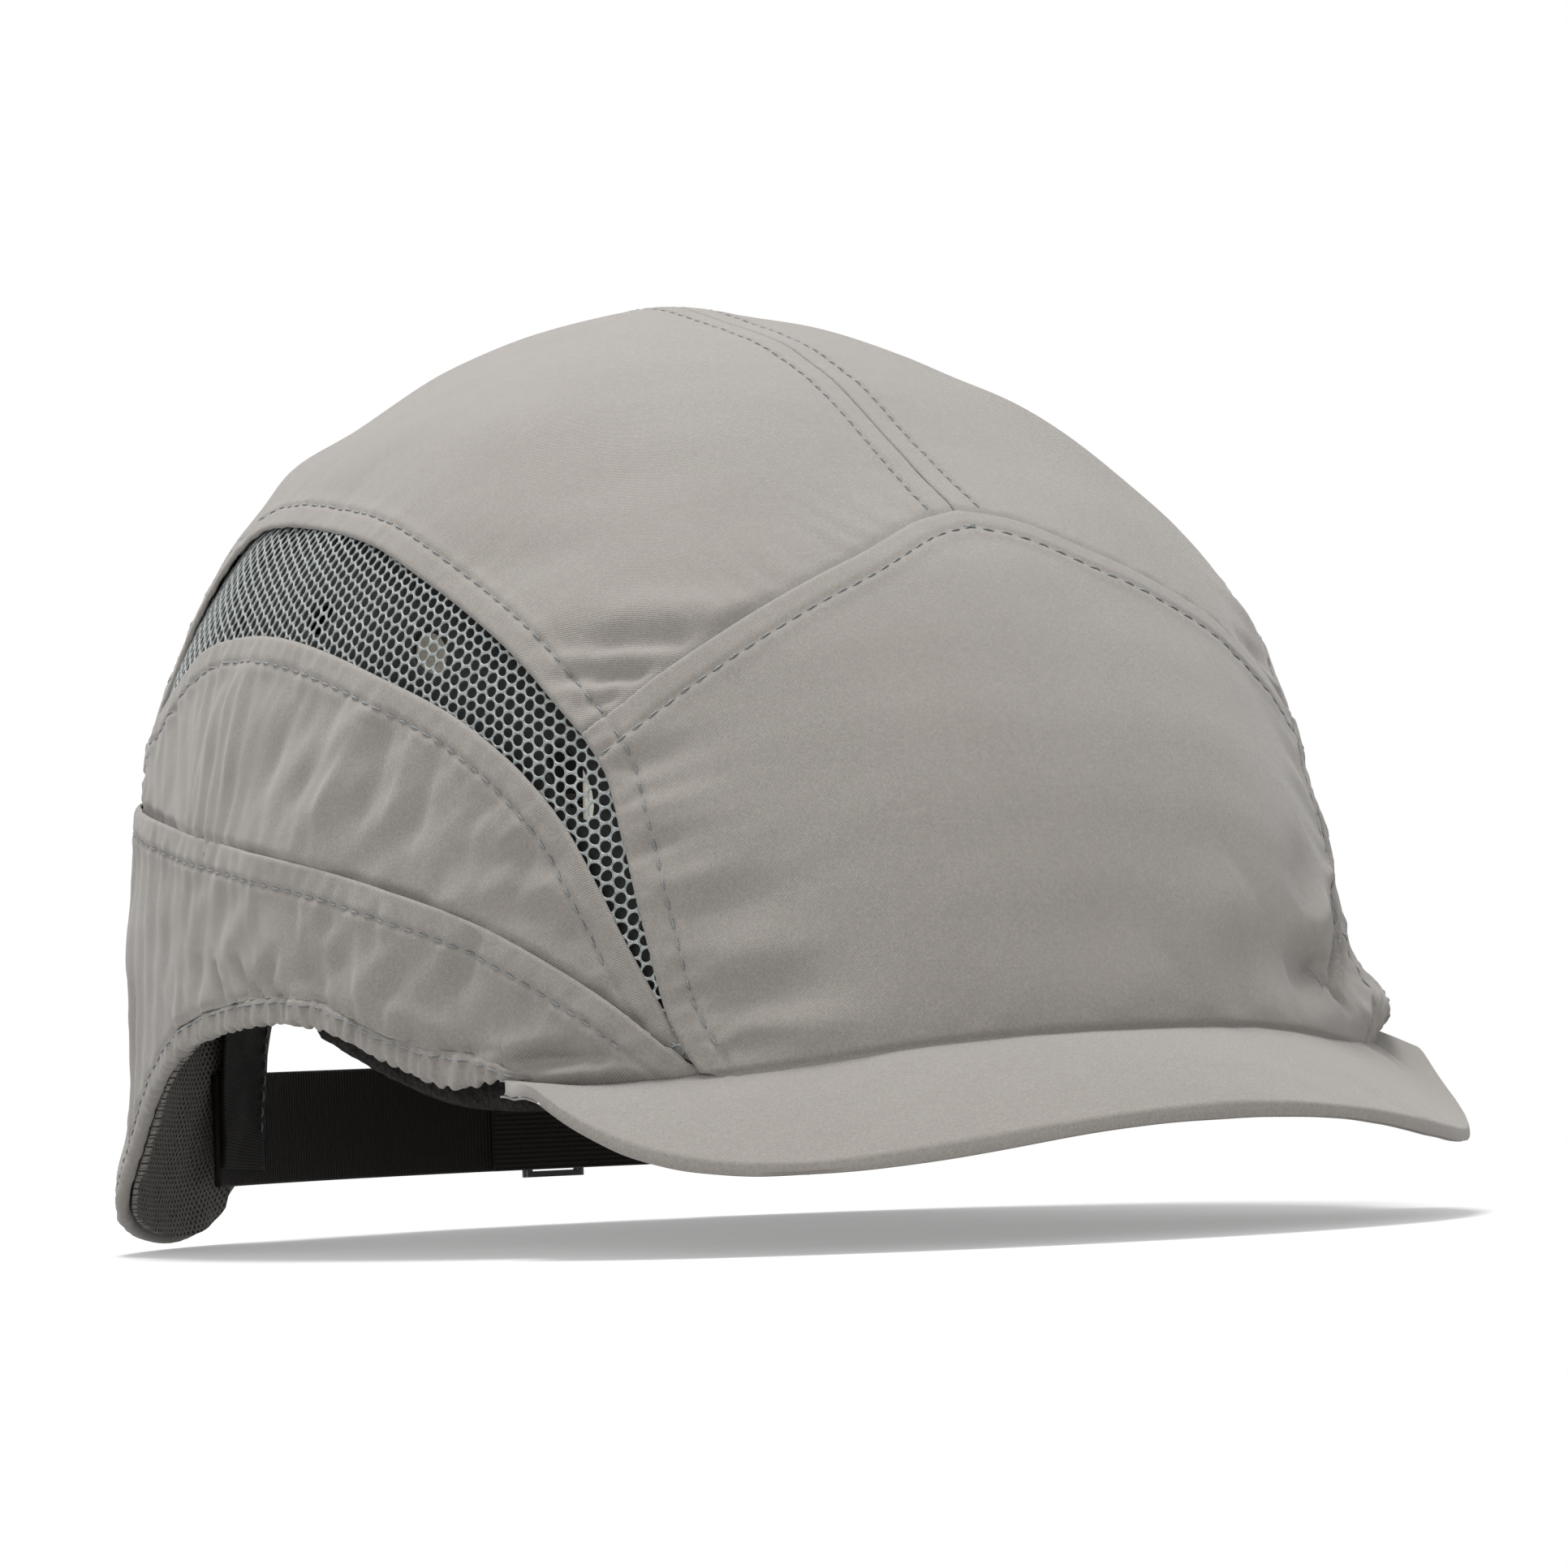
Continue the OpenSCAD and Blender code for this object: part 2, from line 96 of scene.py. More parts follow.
PEAK_SEAM = [[0, 1], [10, 0.8], [20, -0.2], [30, -2], [40, -3.5], [48, -3.8], [55, -2.7]]
HEM_EDGE = [[55, -2.7], [60, -2.5], [66, 0.5], [72, 5], [78, 6.6], [86, 5.5], [95, 1.7],
            [105, -6], [115, -16], [125, -23], [135, -26], [142, -26.2], [148, -23.5], [152, -18]]
SHELL_EDGE = [[0, 3], [36, 1], [44, 5], [52, 24], [64, 44], [78, 52], [92, 54], [104, 50],
              [120, 44], [180, 46]]
SWEATBAND_EDGE = [[0, -1], [30, -4], [48, -7], [60, -6.5], [68, -2], [76, 4.5]]
PEAK_CORNER = 55.0
HEM_W = 4.0


def smooth(x, low, high):
    t = np.clip((x - low) / (high - low), 0, 1)
    return t * t * (3 - 2 * t)


def curve(table, x):
    """Smooth curve through a list of [x, value]."""
    t = np.array(table, float)
    n = len(t)
    low, high = np.maximum(np.arange(n) - 1, 0), np.minimum(np.arange(n) + 1, n - 1)
    slope = (t[high, 1] - t[low, 1]) / (t[high, 0] - t[low, 0])
    x = np.asarray(x, float)
    i = np.clip(np.searchsorted(t[:, 0], x, side="right") - 1, 0, n - 2)
    step = t[i + 1, 0] - t[i, 0]
    s = np.clip((x - t[i, 0]) / step, 0, 1)
    return ((2 * s**3 - 3 * s**2 + 1) * t[i, 1] + (s**3 - 2 * s**2 + s) * step * slope[i]
            + (3 * s**2 - 2 * s**3) * t[i + 1, 1] + (s**3 - s**2) * step * slope[i + 1])


def powers(a):
    """Powers of the rounded profile at an angle: of the height and of the reach."""
    c = np.cos(np.radians(a))
    return (3.2 + (np.where(c > 0, 2.2, 2.5) - 3.2) * c**2,
            1.6 + (np.where(c > 0, 1.35, 2.1) - 1.6) * c**2)


def shrink(a, z):
    """How far out the plain shape reaches at a height, as a share of its base."""
    p, q = powers(a)
    return (1 - np.clip(z / CROWN, 0, 1) ** p) ** (1 / q)


def height_at(a, g):
    """The height where the plain shape reaches out by the share g."""
    p, q = powers(a)
    return CROWN * (1 - np.clip(g, 0, 1) ** q) ** (1 / p)


# Where the cloth stands proud of the plain shape or sinks below it: angle, height, how far
# it reaches in degrees and millimetres, and by how much
SWELLS = [(-109, 84, 14, 12, 0.9), (-104, 100, 20, 6, -1.7), (60, 76, 14, 9, 0.8),
          (36, 40, 9, 12, -1.0), (55, 40, 9, 9, -1.5), (44, 25, 10, 12, -1.5),
          (46, 2.5, 9, 5.5, 5.0), (-95, 52, 18, 12, -0.7), (95, 52, 18, 12, -0.5),
          (0, 92, 16, 8, -0.8)]


def swell(a, z):
    total = np.zeros(a.shape)
    for at, height, wide, tall, lift in SWELLS:
        off = (a - at + 180) % 360 - 180
        total += lift * np.exp(-(off / wide) ** 2 - ((z - height) / tall) ** 2)
    return total + 4.0 * smooth(-z, -2, 22) * smooth(abs(a), 98, 125)


def surface(a, z, depth=0.0, g=None, stiff=False):
    """Point at an angle and a height, at a depth below the outside of the cap. Cloth follows
    its swells, and the flap on the wearer's left hangs a little higher."""
    a, z = np.broadcast_arrays(np.asarray(a, float), np.asarray(z, float))
    if not stiff:
        depth = depth - swell(a, z)
        z = z + 5.5 * smooth(-z, 4, 24) * smooth(a, 95, 110)
    u = z / CROWN
    g = shrink(a, z) if g is None else g
    c, s = np.cos(np.radians(a)), np.sin(np.radians(a))
    reach = np.where(c > 0, 118.5 - 5.5 * u, 91 - 2 * u)
    return np.stack([(87 - 0.5 * u - depth) * g * s,
                     WIDEST_Y - (reach - depth) * g * c,
                     z - np.maximum(u, 0) * depth], -1)


def lengths(points):
    """Length along a line up to each of its points."""
    return np.concatenate([[0], np.cumsum(np.linalg.norm(np.diff(points, axis=0), axis=1))])


def chart_line(table, start, end, side=1, count=240):
    """Line of the chart, as [angle, height] rows."""
    a = np.linspace(start, end, count)
    return np.stack([a * side, curve(table, a)], -1)


def at_fractions(line, fractions, place=lambda q: surface(q[:, 0], q[:, 1])):
    """The line at fractions of its length on the cap."""
    s = lengths(place(line))
    return np.stack([np.interp(fractions, s / s[-1], line[:, k]) for k in range(2)], -1)


def spacing(length, fine, coarse, margin):
    """Fractions from 0 to 1, close together near both ends."""
    x = [0.0]
    while x[-1] < length:
        edge = min(x[-1], length - x[-1])
        x.append(x[-1] + fine + (coarse - fine) * float(smooth(edge, margin * 0.6, margin * 1.6)))
    return np.array(x) / x[-1]


def coons(bottom, top, left, right, s, t):
    """Patch between four lines of the chart that share their corners."""
    s, t = s[:, None, None], t[None, :, None]
    corners = ((1 - s) * (1 - t) * bottom[0] + s * (1 - t) * bottom[-1]
               + (1 - s) * t * top[0] + s * t * top[-1])
    return ((1 - t) * bottom[:, None] + t * top[:, None]
            + (1 - s) * left[None] + s * right[None] - corners)


def unit(v):
    return v / np.maximum(np.linalg.norm(v, axis=-1, keepdims=True), 1e-9)


CENTRE = np.array([0.0, 10.0, 25.0])


def normals(grid):
    """Normals of a grid of points, away from the head."""
    n = unit(np.cross(np.gradient(grid, axis=0), np.gradient(grid, axis=1)))
    return n if np.mean(np.sum(n * (grid - CENTRE), -1)) >= 0 else -n


def nearest(points, line, step=0.15):
    """Distance from each point to a line, and how far along it the nearest place is."""
    s = lengths(line)
    fine = np.arange(0, s[-1], step)
    dense = np.stack([np.interp(fine, s, line[:, k]) for k in range(3)], -1)
    tree = KDTree(len(dense))
    for i, p in enumerate(dense):
        tree.insert(p, i)
    tree.balance()
    found = [tree.find(p)[1:] for p in points.reshape(-1, 3)]
    index, dist = np.array([f[0] for f in found]), np.array([f[1] for f in found])
    return dist.reshape(points.shape[:-1]), fine[index].reshape(points.shape[:-1])


# ---------------------------------------------------------------- relief of sewn cloth
def waves(s, d, seed, low, high, shear=0.0, count=7):
    """Uneven ripples along s, which wander a little as d grows."""
    rng = np.random.default_rng(seed)
    total = np.zeros(np.shape(s))
    for _ in range(count):
        length = rng.uniform(low, high)
        phase, wander, slow = rng.uniform(0, 2 * np.pi, 3)
        envelope = 0.55 + 0.45 * np.sin(2 * np.pi * s / (length * rng.uniform(4, 9)) + slow)
        total += envelope * np.sin(2 * np.pi * (s + shear * d) / length + phase
                                   + 0.8 * np.sin(d / 9 + wander))
    return total / math.sqrt(count)


def lumps(points, size, seed, count=14):
    """Soft uneven field over the points."""
    rng = np.random.default_rng(seed)
    total = np.zeros(points.shape[:-1])
    for _ in range(count):
        way = rng.normal(size=3)
        way *= 2 * np.pi / (size * rng.uniform(0.7, 1.5)) / np.linalg.norm(way)
        total += np.sin(points @ way + rng.uniform(0, 2 * np.pi))
    return total / math.sqrt(count / 2)


ROW = 4.2  # from a seam to its row of topstitching
PITCH = 2.7  # from stitch to stitch


def rounded(d, radius, drop):
    """Edge that rolls over, within a radius of the seam."""
    t = np.clip(1 - d / radius, 0, 1)
    return -drop * (1 - np.sqrt(np.maximum(1 - t * t, 0)))


def lip(d, s, seed, pucker, rise, drop):
    """Folded edge with a row of topstitching: a raised strip, a dip at the row, puckers past it."""
    h = rise * (1 - smooth(d, ROW - 0.4, ROW + 3.2)) + rounded(d, 0.3 + 0.6 * drop, drop)
    h = h - (0.36 + 0.08 * np.cos(2 * np.pi * s / PITCH)) * np.exp(-((d - ROW) / 0.55) ** 2)
    w = waves(s, d, seed, 3.0, 7.5)
    h = h + pucker * w * (smooth(d, 0.8, ROW) * np.exp(-np.maximum(d - ROW, 0) / 6.5))
    return h + 0.6 * pucker * waves(s, d, seed + 1, 2.4, 4.2) * np.exp(-((d - 1.6) / 1.6) ** 2)


def plain(d, s, seed, pucker, under=None, drop=0.5):
    """The side of a seam that runs under the other panel's fold, where under is true."""
    beyond = np.zeros(d.shape, bool) if under is None else under
    h = -drop * (1 - smooth(np.where(beyond, -d, d), -0.2, 1.5))
    w = waves(s, d, seed, 3.5, 9.0) * smooth(d, 0.3, 2.0) * np.exp(-d / 8.0)
    return h + pucker * np.where(beyond, 0, w)


def crease(points, start, end, width, height):
    """A soft fold from one place of the chart to another, given as (angle, height)."""
    a, z = (start + (end - start) * np.linspace(0, 1, 40)[:, None]).T
    line = surface(a, z)
    d, s = nearest(points, line, 0.5)
    t = s / lengths(line)[-1]
    return height * np.exp(-(d / width) ** 2) * np.sin(np.pi * np.clip(t, 0.04, 0.96)) ** 0.8


# ---------------------------------------------------------------- meshes
def new_mesh(name, points, faces, cloth=None, shade=True):
    """Object from points in millimetres, with its place in the cloth as a point attribute."""
    mesh = bpy.data.meshes.new(name)
    mesh.from_pydata((np.asarray(points, float) / 1000).tolist(), [],
                     faces if isinstance(faces, list) else faces.tolist())
    if cloth is not None:
        flat = np.zeros((len(points), 3), np.float32)
        flat[:, :2] = cloth
        layer = mesh.attributes.new("cloth", "FLOAT_VECTOR", "POINT")
        layer.data.foreach_set("vector", flat.ravel())
    mesh.validate()
    if shade:
        mesh.polygons.foreach_set("use_smooth", [True] * len(mesh.polygons))
    obj = bpy.data.objects.new(name, mesh)
    bpy.context.scene.collection.objects.link(obj)
    return obj


def quads(rows, cols, offset=0, ring=False, flip=False):
    """Faces of a grid of points, closed on itself across the rows if it is a ring."""
    i, j = np.meshgrid(np.arange(rows - 1), np.arange(cols if ring else cols - 1), indexing="ij")
    k = (j + 1) % cols
    f = np.stack([i * cols + j, i * cols + k, (i + 1) * cols + k, (i + 1) * cols + j], -1)
    f = f.reshape(-1, 4) + offset
    return f[:, ::-1] if flip else f


def solid(name, outer, inner, cloth=None):
    """Closed sheet between two equal grids, outward side first."""
    rows, cols = outer.shape[:2]
    n = rows * cols
    sample = np.cross(outer[1:, :-1] - outer[:-1, :-1], outer[:-1, 1:] - outer[:-1, :-1])
    flip = np.mean(np.sum(sample * (outer - inner)[:-1, :-1], -1)) > 0
    edge = np.concatenate([
        np.arange(cols), np.arange(1, rows) * cols + cols - 1,
        (rows - 1) * cols + np.arange(cols - 2, -1, -1), np.arange(rows - 2, 0, -1) * cols])
    after = np.roll(edge, -1)
    walls = np.stack([after, edge, edge + n, after + n], -1)
    faces = np.concatenate([quads(rows, cols), quads(rows, cols, n, flip=True), walls])
    if flip:
        faces = faces[:, ::-1]
    points = np.concatenate([outer.reshape(-1, 3), inner.reshape(-1, 3)])
    cloth = cloth_of(outer) if cloth is None else cloth
    return new_mesh(name, points, faces, np.concatenate([cloth.reshape(-1, 2)] * 2))


def cloth_of(grid):
    """Place of each grid point in the flat cloth, from lengths along the middle lines."""
    across = np.stack([lengths(row) for row in grid])
    across = across - across[:, across.shape[1] // 2][:, None]
    along = lengths(grid[:, grid.shape[1] // 2])
    return np.stack([np.broadcast_to(along[:, None], across.shape), across], -1)


def from_the_top(grid):
    """Place of each point of the crown in the flat cloth: its distance and direction from the
    top of the cap, so that the weave runs evenly all over."""
    away = grid - np.array([0.0, WIDEST_Y, CROWN])
    way = away[..., :2] / np.maximum(np.linalg.norm(away[..., :2], axis=-1, keepdims=True), 1e-6)
    return way * np.linalg.norm(away, axis=-1, keepdims=True)


def sheet(name, grid, height, thickness, cloth=None):
    """Cloth that lies over the grid with its relief, as high as given."""
    outer = grid + normals(grid) * height[..., None]
    inner = outer - normals(outer) * thickness
    return solid(name, outer, inner, cloth_of(grid) if cloth is None else cloth)


def tube(name, rings, along, around):
    """Closed skin through a row of equal rings. Its place in the cloth is the length along it
    and the length round it."""
    rows, cols = rings.shape[:2]
    faces = quads(rows, cols, ring=True).tolist()
    faces += [list(range(cols - 1, -1, -1)), list(range((rows - 1) * cols, rows * cols))]
    ring, middle = rings[rows // 2], rings[rows // 2].mean(0)
    way = np.cross(rings[rows // 2 + 1].mean(0) - middle, ring[1] - ring[0])
    if np.dot(way, ring[0] + ring[1] - 2 * middle) > 0:
        faces = [f[::-1] for f in faces]
    cloth = np.stack(np.broadcast_arrays(along[:, None], around), -1)
    return new_mesh(name, rings.reshape(-1, 3), faces, cloth.reshape(-1, 2))


def modifier(obj, kind, **settings):
    """Adds a modifier with its settings."""
    m = obj.modifiers.new(kind.lower(), kind)
    for key, value in settings.items():
        setattr(m, key, value)


# ---------------------------------------------------------------- materials
class Graph:
    """A node material with one Principled shader."""

    def __init__(self, name, roughness, specular=0.5, **fixed):
        self.material = bpy.data.materials.new(name)
        self.material.use_nodes = True
        self.tree = self.material.node_tree
        self.tree.nodes.clear()
        self.shader = self.node("ShaderNodeBsdfPrincipled")
        out = self.node("ShaderNodeOutputMaterial")
        self.link(self.shader.outputs[0], out.inputs[0])
        self.set("Roughness", roughness)
        self.set("Specular IOR Level", specular)
        for key, value in fixed.items():
            self.set(key.replace("_", " "), value)

    def node(self, kind, *inputs, **settings):
        """Adds a node with its settings, and links or sets its first inputs."""
        n = self.tree.nodes.new(kind)
        for key, value in settings.items():
            setattr(n, key, value)
        for i, value in enumerate(inputs):
            self.link(value, n.inputs[i])
        return n

    def link(self, a, b):
        if isinstance(a, bpy.types.NodeSocket):
            self.tree.links.new(a, b)
        else:
            b.default_value = a

    def set(self, socket, value):
        self.link(value, self.shader.inputs[socket])

    def cloth(self):
        return self.node("ShaderNodeAttribute", attribute_name="cloth").outputs["Vector"]

    def place(self):
        return self.node("ShaderNodeTexCoord").outputs["Object"]

    def parts(self, vector):
        return self.node("ShaderNodeSeparateXYZ", vector).outputs

    def math(self, operation, *values):
        return self.node("ShaderNodeMath", *values, operation=operation).outputs[0]

    def ripple(self, value, pitch):
        """Sine that repeats every so many millimetres."""
        return self.math("SINE", self.math("MULTIPLY", value, 2 * math.pi / pitch))

    def texture(self, n, vector, **inputs):
        for name, value in {"Vector": vector, **inputs}.items():
            self.link(value, n.inputs[name])
        return n.outputs

    def noise(self, vector, scale, detail=2.0, roughness=0.5):
        n = self.node("ShaderNodeTexNoise")
        return self.texture(n, vector, Scale=scale, Detail=detail, Roughness=roughness)["Fac"]

    def cells(self, scale, **settings):
        """Distance to the nearest of many scattered points."""
        n = self.node("ShaderNodeTexVoronoi", feature="F1", **settings)
        return self.texture(n, self.place(), Scale=scale)["Distance"]

    def span(self, value, a, b, c, d):
        """The value moved from the range a to b into the range c to d."""
        return self.node("ShaderNodeMapRange", value, a, b, c, d).outputs[0]

    def mix(self, factor, a, b):
        n = self.node("ShaderNodeMix", factor, data_type="RGBA")
        self.link(a, n.inputs[6])
        self.link(b, n.inputs[7])
        return n.outputs[2]

    def bump(self, height, distance, strength=1.0):
        n = self.node("ShaderNodeBump")
        self.link(height, n.inputs["Height"])
        self.link(strength, n.inputs["Strength"])
        self.link(distance, n.inputs["Distance"])
        previous = self.shader.inputs["Normal"]
        if previous.is_linked:
            self.link(previous.links[0].from_socket, n.inputs["Normal"])
        self.set("Normal", n.outputs[0])


def grey(value, tint=(1, 1, 1)):
    """Linear colour of a brightness, with a slight tint."""
    return tuple(value * t for t in tint) + (1.0,)


TWILL_RIB = 0.36  # from rib to rib
TAUPE = (1.068, 0.985, 0.892)


def twill_material():
    """Fine polyester twill: diagonal ribs, heathered yarns, soft sheen."""
    g = Graph("taupe_twill", 0.82, 0.25, Sheen_Weight=0.22, Sheen_Roughness=0.45)
    u, v = g.parts(g.cloth())[:2]
    place = g.place()
    wobble = g.math("MULTIPLY", g.noise(g.cloth(), 0.9, 1.0), 0.25)
    along = g.math("ADD", g.math("ADD", u, v), wobble)
    cross = g.ripple(g.math("SUBTRACT", u, v), TWILL_RIB * 0.8)
    yarn = g.math("MULTIPLY_ADD", cross, 0.35, g.ripple(along, TWILL_RIB))
    dark, light = grey(0.128, TAUPE), grey(0.1856, TAUPE)
    heather = g.noise(place, 2600.0, 2.0, 0.65)
    cloud = g.noise(place, 32.0, 2.0)
    base = g.mix(g.span(heather, 0.3, 0.7, 0.0, 1.0), dark, light)
    base = g.mix(g.span(yarn, -1.3, 1.3, 0.32, 0.0), base, dark)
    base = g.mix(g.span(g.noise(place, 750.0, 1.0), 0.35, 0.65, 0.0, 0.22), base, dark)
    base = g.mix(g.span(cloud, 0.3, 0.7, 0.0, 0.14), base, light)
    g.set("Base Color", base)
    g.set("Roughness", g.span(heather, 0.3, 0.7, 0.74, 0.9))
    g.bump(g.noise(place, 260.0, 2.0), 0.00012, 0.5)
    g.bump(yarn, 0.00004, 0.6)
    return g.material


twill = twill_material()


def thread_material():
    g = Graph("grey_sewing_thread", 0.38, 0.6, Sheen_Weight=0.1)
    u, v = g.parts(g.cloth())[:2]
    ply = g.ripple(g.math("ADD", u, v), 0.32)
    g.set("Base Color", g.mix(g.span(ply, -1, 1, 0, 1), grey(0.04, (0.92, 1, 1.02)),
                              grey(0.22, (0.95, 1, 1.01))))
    g.bump(ply, 0.00004, 0.8)
    return g.material


thread = thread_material()


def mesh_material():
    g = Graph("vent_net_yarn", 0.36, 0.6, Sheen_Weight=0.05)
    place = g.place()
    fibre = g.noise(place, 5200.0, 2.0, 0.6)
    broad = g.noise(place, 420.0, 1.0)
    base = g.mix(g.span(fibre, 0.3, 0.7, 0, 1), grey(0.06, (0.9, 1, 0.98)),
                 grey(0.30, (0.93, 1, 0.98)))
    g.set("Base Color", g.mix(g.span(broad, 0.35, 0.65, 0, 0.4), base,
                              grey(0.10, (0.9, 1, 0.98))))
    g.bump(fibre, 0.00006, 0.7)
    return g.material


net = mesh_material()


def ribbed_material(name, value, pitch, across=False):
    """Black woven elastic or tape with fine ribs, along it or across it."""
    g = Graph(name, 0.66, 0.2, Sheen_Weight=0.04, Sheen_Roughness=0.4)
    u, v = g.parts(g.cloth())[:2]
    u, v = (v, u) if across else (u, v)
    rib, knit = g.ripple(u, pitch), g.ripple(v, pitch * 0.55)
    height = g.math("MULTIPLY_ADD", g.math("MULTIPLY", rib, knit), 0.35, rib)
    fibre = g.noise(g.place(), 3000.0, 2.0, 0.6)
    base = g.mix(g.span(height, -1.2, 1.2, 0, 1), grey(value * 0.45, (1.3, 1, 0.72)),
                 grey(value * 1.5, (1.3, 1, 0.75)))
    g.set("Base Color", g.mix(g.span(fibre, 0.45, 0.75, 0, 0.35), base,
                              grey(value * 2.4, (1.2, 1, 0.82))))
    g.bump(height, 0.00012, 0.8)
    g.bump(fibre, 0.00004, 0.5)
    return g.material


elastic = ribbed_material("black_ribbed_elastic", 0.006, 0.62)
webbing = ribbed_material("black_tape", 0.007, 0.8, across=True)
facing = ribbed_material("black_facing", 0.006, 0.5)


def towelling_material():
    g = Graph("black_towelling", 0.95, 0.1, Sheen_Weight=0.02, Sheen_Roughness=0.6)
    height = g.math("SUBTRACT", g.noise(g.place(), 2400.0, 3.0, 0.7), g.cells(1300.0))
    g.set("Base Color", g.mix(g.span(height, -0.6, 0.6, 0, 1), grey(0.002),
                              grey(0.018, (1.1, 1, 0.9))))
    g.bump(height, 0.0005, 0.9)
    return g.material


towelling = towelling_material()


def knit_material():
    """Dark grey spacer knit with rows of small eyelets, painted near black as painted shade inside
    the holes.
    """
    g = Graph("spacer_knit", 0.85, 0.2, Sheen_Weight=0.05, Sheen_Roughness=0.5)
    u, v = g.parts(g.cloth())[:2]
    row = g.ripple(v, 1.5)
    shift = g.math("MULTIPLY", g.math("SIGN", row), 0.25)
    col = g.ripple(g.math("ADD", g.math("DIVIDE", u, 1.3), shift), 1.0)
    eyelet = g.math("MULTIPLY", g.math("ABSOLUTE", row), g.math("MAXIMUM", col, 0.0))
    hole = g.span(eyelet, 0.25, 0.6, 0.0, 1.0)
    fibre = g.noise(g.place(), 3200.0, 2.0, 0.6)
    base = g.mix(g.span(fibre, 0.3, 0.7, 0, 1), grey(0.07, (1.08, 1, 0.9)),
                 grey(0.20, (1.08, 1, 0.9)))
    # the eyelet holes are painted near black: painted shade for the dark inside them
    g.set("Base Color", g.mix(hole, base, grey(0.005)))
    g.bump(g.math("MULTIPLY", hole, -1.0), 0.0004, 0.9)
    g.bump(fibre, 0.00008, 0.6)
    return g.material


knit = knit_material()


def plastic_material(name, colour, roughness, scale=900.0, specular=0.5):
    """Moulded plastic with a fine spark-eroded grain."""
    g = Graph(name, roughness, specular)
    grain = g.noise(g.place(), scale, 3.0, 0.6)
    haze = g.noise(g.place(), 60.0, 2.0)
    lighter = tuple(min(c * 1.25 + 0.004, 1) for c in colour[:3]) + (1.0,)
    g.set("Base Color", g.mix(g.span(haze, 0.35, 0.65, 0, 1), colour, lighter))
    g.set("Roughness", g.span(haze, 0.3, 0.7, roughness * 0.85, roughness * 1.2))
    g.bump(grain, 0.00003, 0.6)
    return g.material


shell_plastic = plastic_material("shell_abs", grey(0.011, (0.92, 1, 1.02)), 0.6, specular=0.15)
buckle_plastic = plastic_material("buckle_acetal", grey(0.012), 0.3)
board_plastic = plastic_material("peak_board", grey(0.6, (1, 1, 0.95)), 0.5, 500.0)


def foam_material():
    g = Graph("cream_foam", 0.9, 0.2)
    cells = g.cells(1500.0)
    base = g.mix(g.span(g.noise(g.place(), 90.0, 2.0), 0.35, 0.65, 0, 1),
                 grey(0.78, (1, 0.97, 0.84)), grey(0.66, (1, 0.95, 0.8)))
    g.set("Base Color", g.mix(g.span(cells, 0.0, 0.25, 0.35, 0), base,
                              grey(0.4, (1, 0.95, 0.8))))
    g.bump(cells, 0.0002, 0.6)
    return g.material


foam = foam_material()


def hook_material(name, scale):
    g = Graph(name, 0.7, 0.3, Sheen_Weight=0.4)
    cells = g.cells(scale, distance="CHEBYCHEV")
    g.set("Base Color", g.mix(g.span(cells, 0.0, 0.6, 0, 1), grey(0.04), grey(0.006)))
    g.bump(g.math("MULTIPLY", cells, -1.0), 0.0006, 0.9)
    return g.material


hooks = hook_material("hook_tape", 1200.0)
loops = hook_material("loop_tape", 2200.0)


# ---------------------------------------------------------------- seam lines on the outside
def seam(table, start, end, side=1):
    return surface(*chart_line(table, start, end, side, 500).T)


def both_sides(line, table, end):
    """The line from one side of the head to the other, through the front."""
    return np.concatenate([line(table, end, 0, -1)[:-1], line(table, 0, end)])


def crown_chart(q):
    """From the flat chart of the crown, seen from above, to points of the cap."""
    g = np.hypot(q[..., 0], q[..., 1])
    a = np.degrees(np.arctan2(q[..., 0], -q[..., 1]))
    return surface(a, height_at(a, g), g=g)


def to_crown(line):
    """From angles and heights to the flat chart of the crown."""
    g = shrink(line[:, 0], line[:, 1])
    a = np.radians(line[:, 0])
    return np.stack([g * np.sin(a), -g * np.cos(a)], -1)


SIDES = {"left": 1, "right": -1}
centre_chart = np.stack([np.zeros(400), np.linspace(-float(shrink(0, 76.0)),
                                                    float(shrink(180, 58.0)), 400)], -1)
CENTRE_SEAM = crown_chart(centre_chart)
FRONT_LINE = both_sides(seam, FRONT_SEAM, VENT_TOP)
pieces = {}


def finish_piece(obj, material, nodes, body="cap"):
    """Gives a piece its material, its body and the nodes that it stands for."""
    obj.data.materials.clear()
    obj.data.materials.append(material)
    if body:
        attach(obj, body)
    if nodes:
        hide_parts(*nodes)
    pieces[obj.name] = obj


# ---------------------------------------------------------------- outer panels
UNDER = 2.2  # how far a panel runs on under its neighbour's fold


def at_seam(grid, line, relief, *shape):
    """Relief of one side of a seam, over the whole panel."""
    return relief(*nearest(grid, line), *shape)


def folds(grid, side, table):
    """Soft creases listed as two places of the chart, a width and a height."""
    total = np.zeros(grid.shape[:2])
    flip = np.array([side, 1])
    for start, end, width, height in table:
        total += crease(grid, np.array(start) * flip, np.array(end) * flip, width, height)
    return total


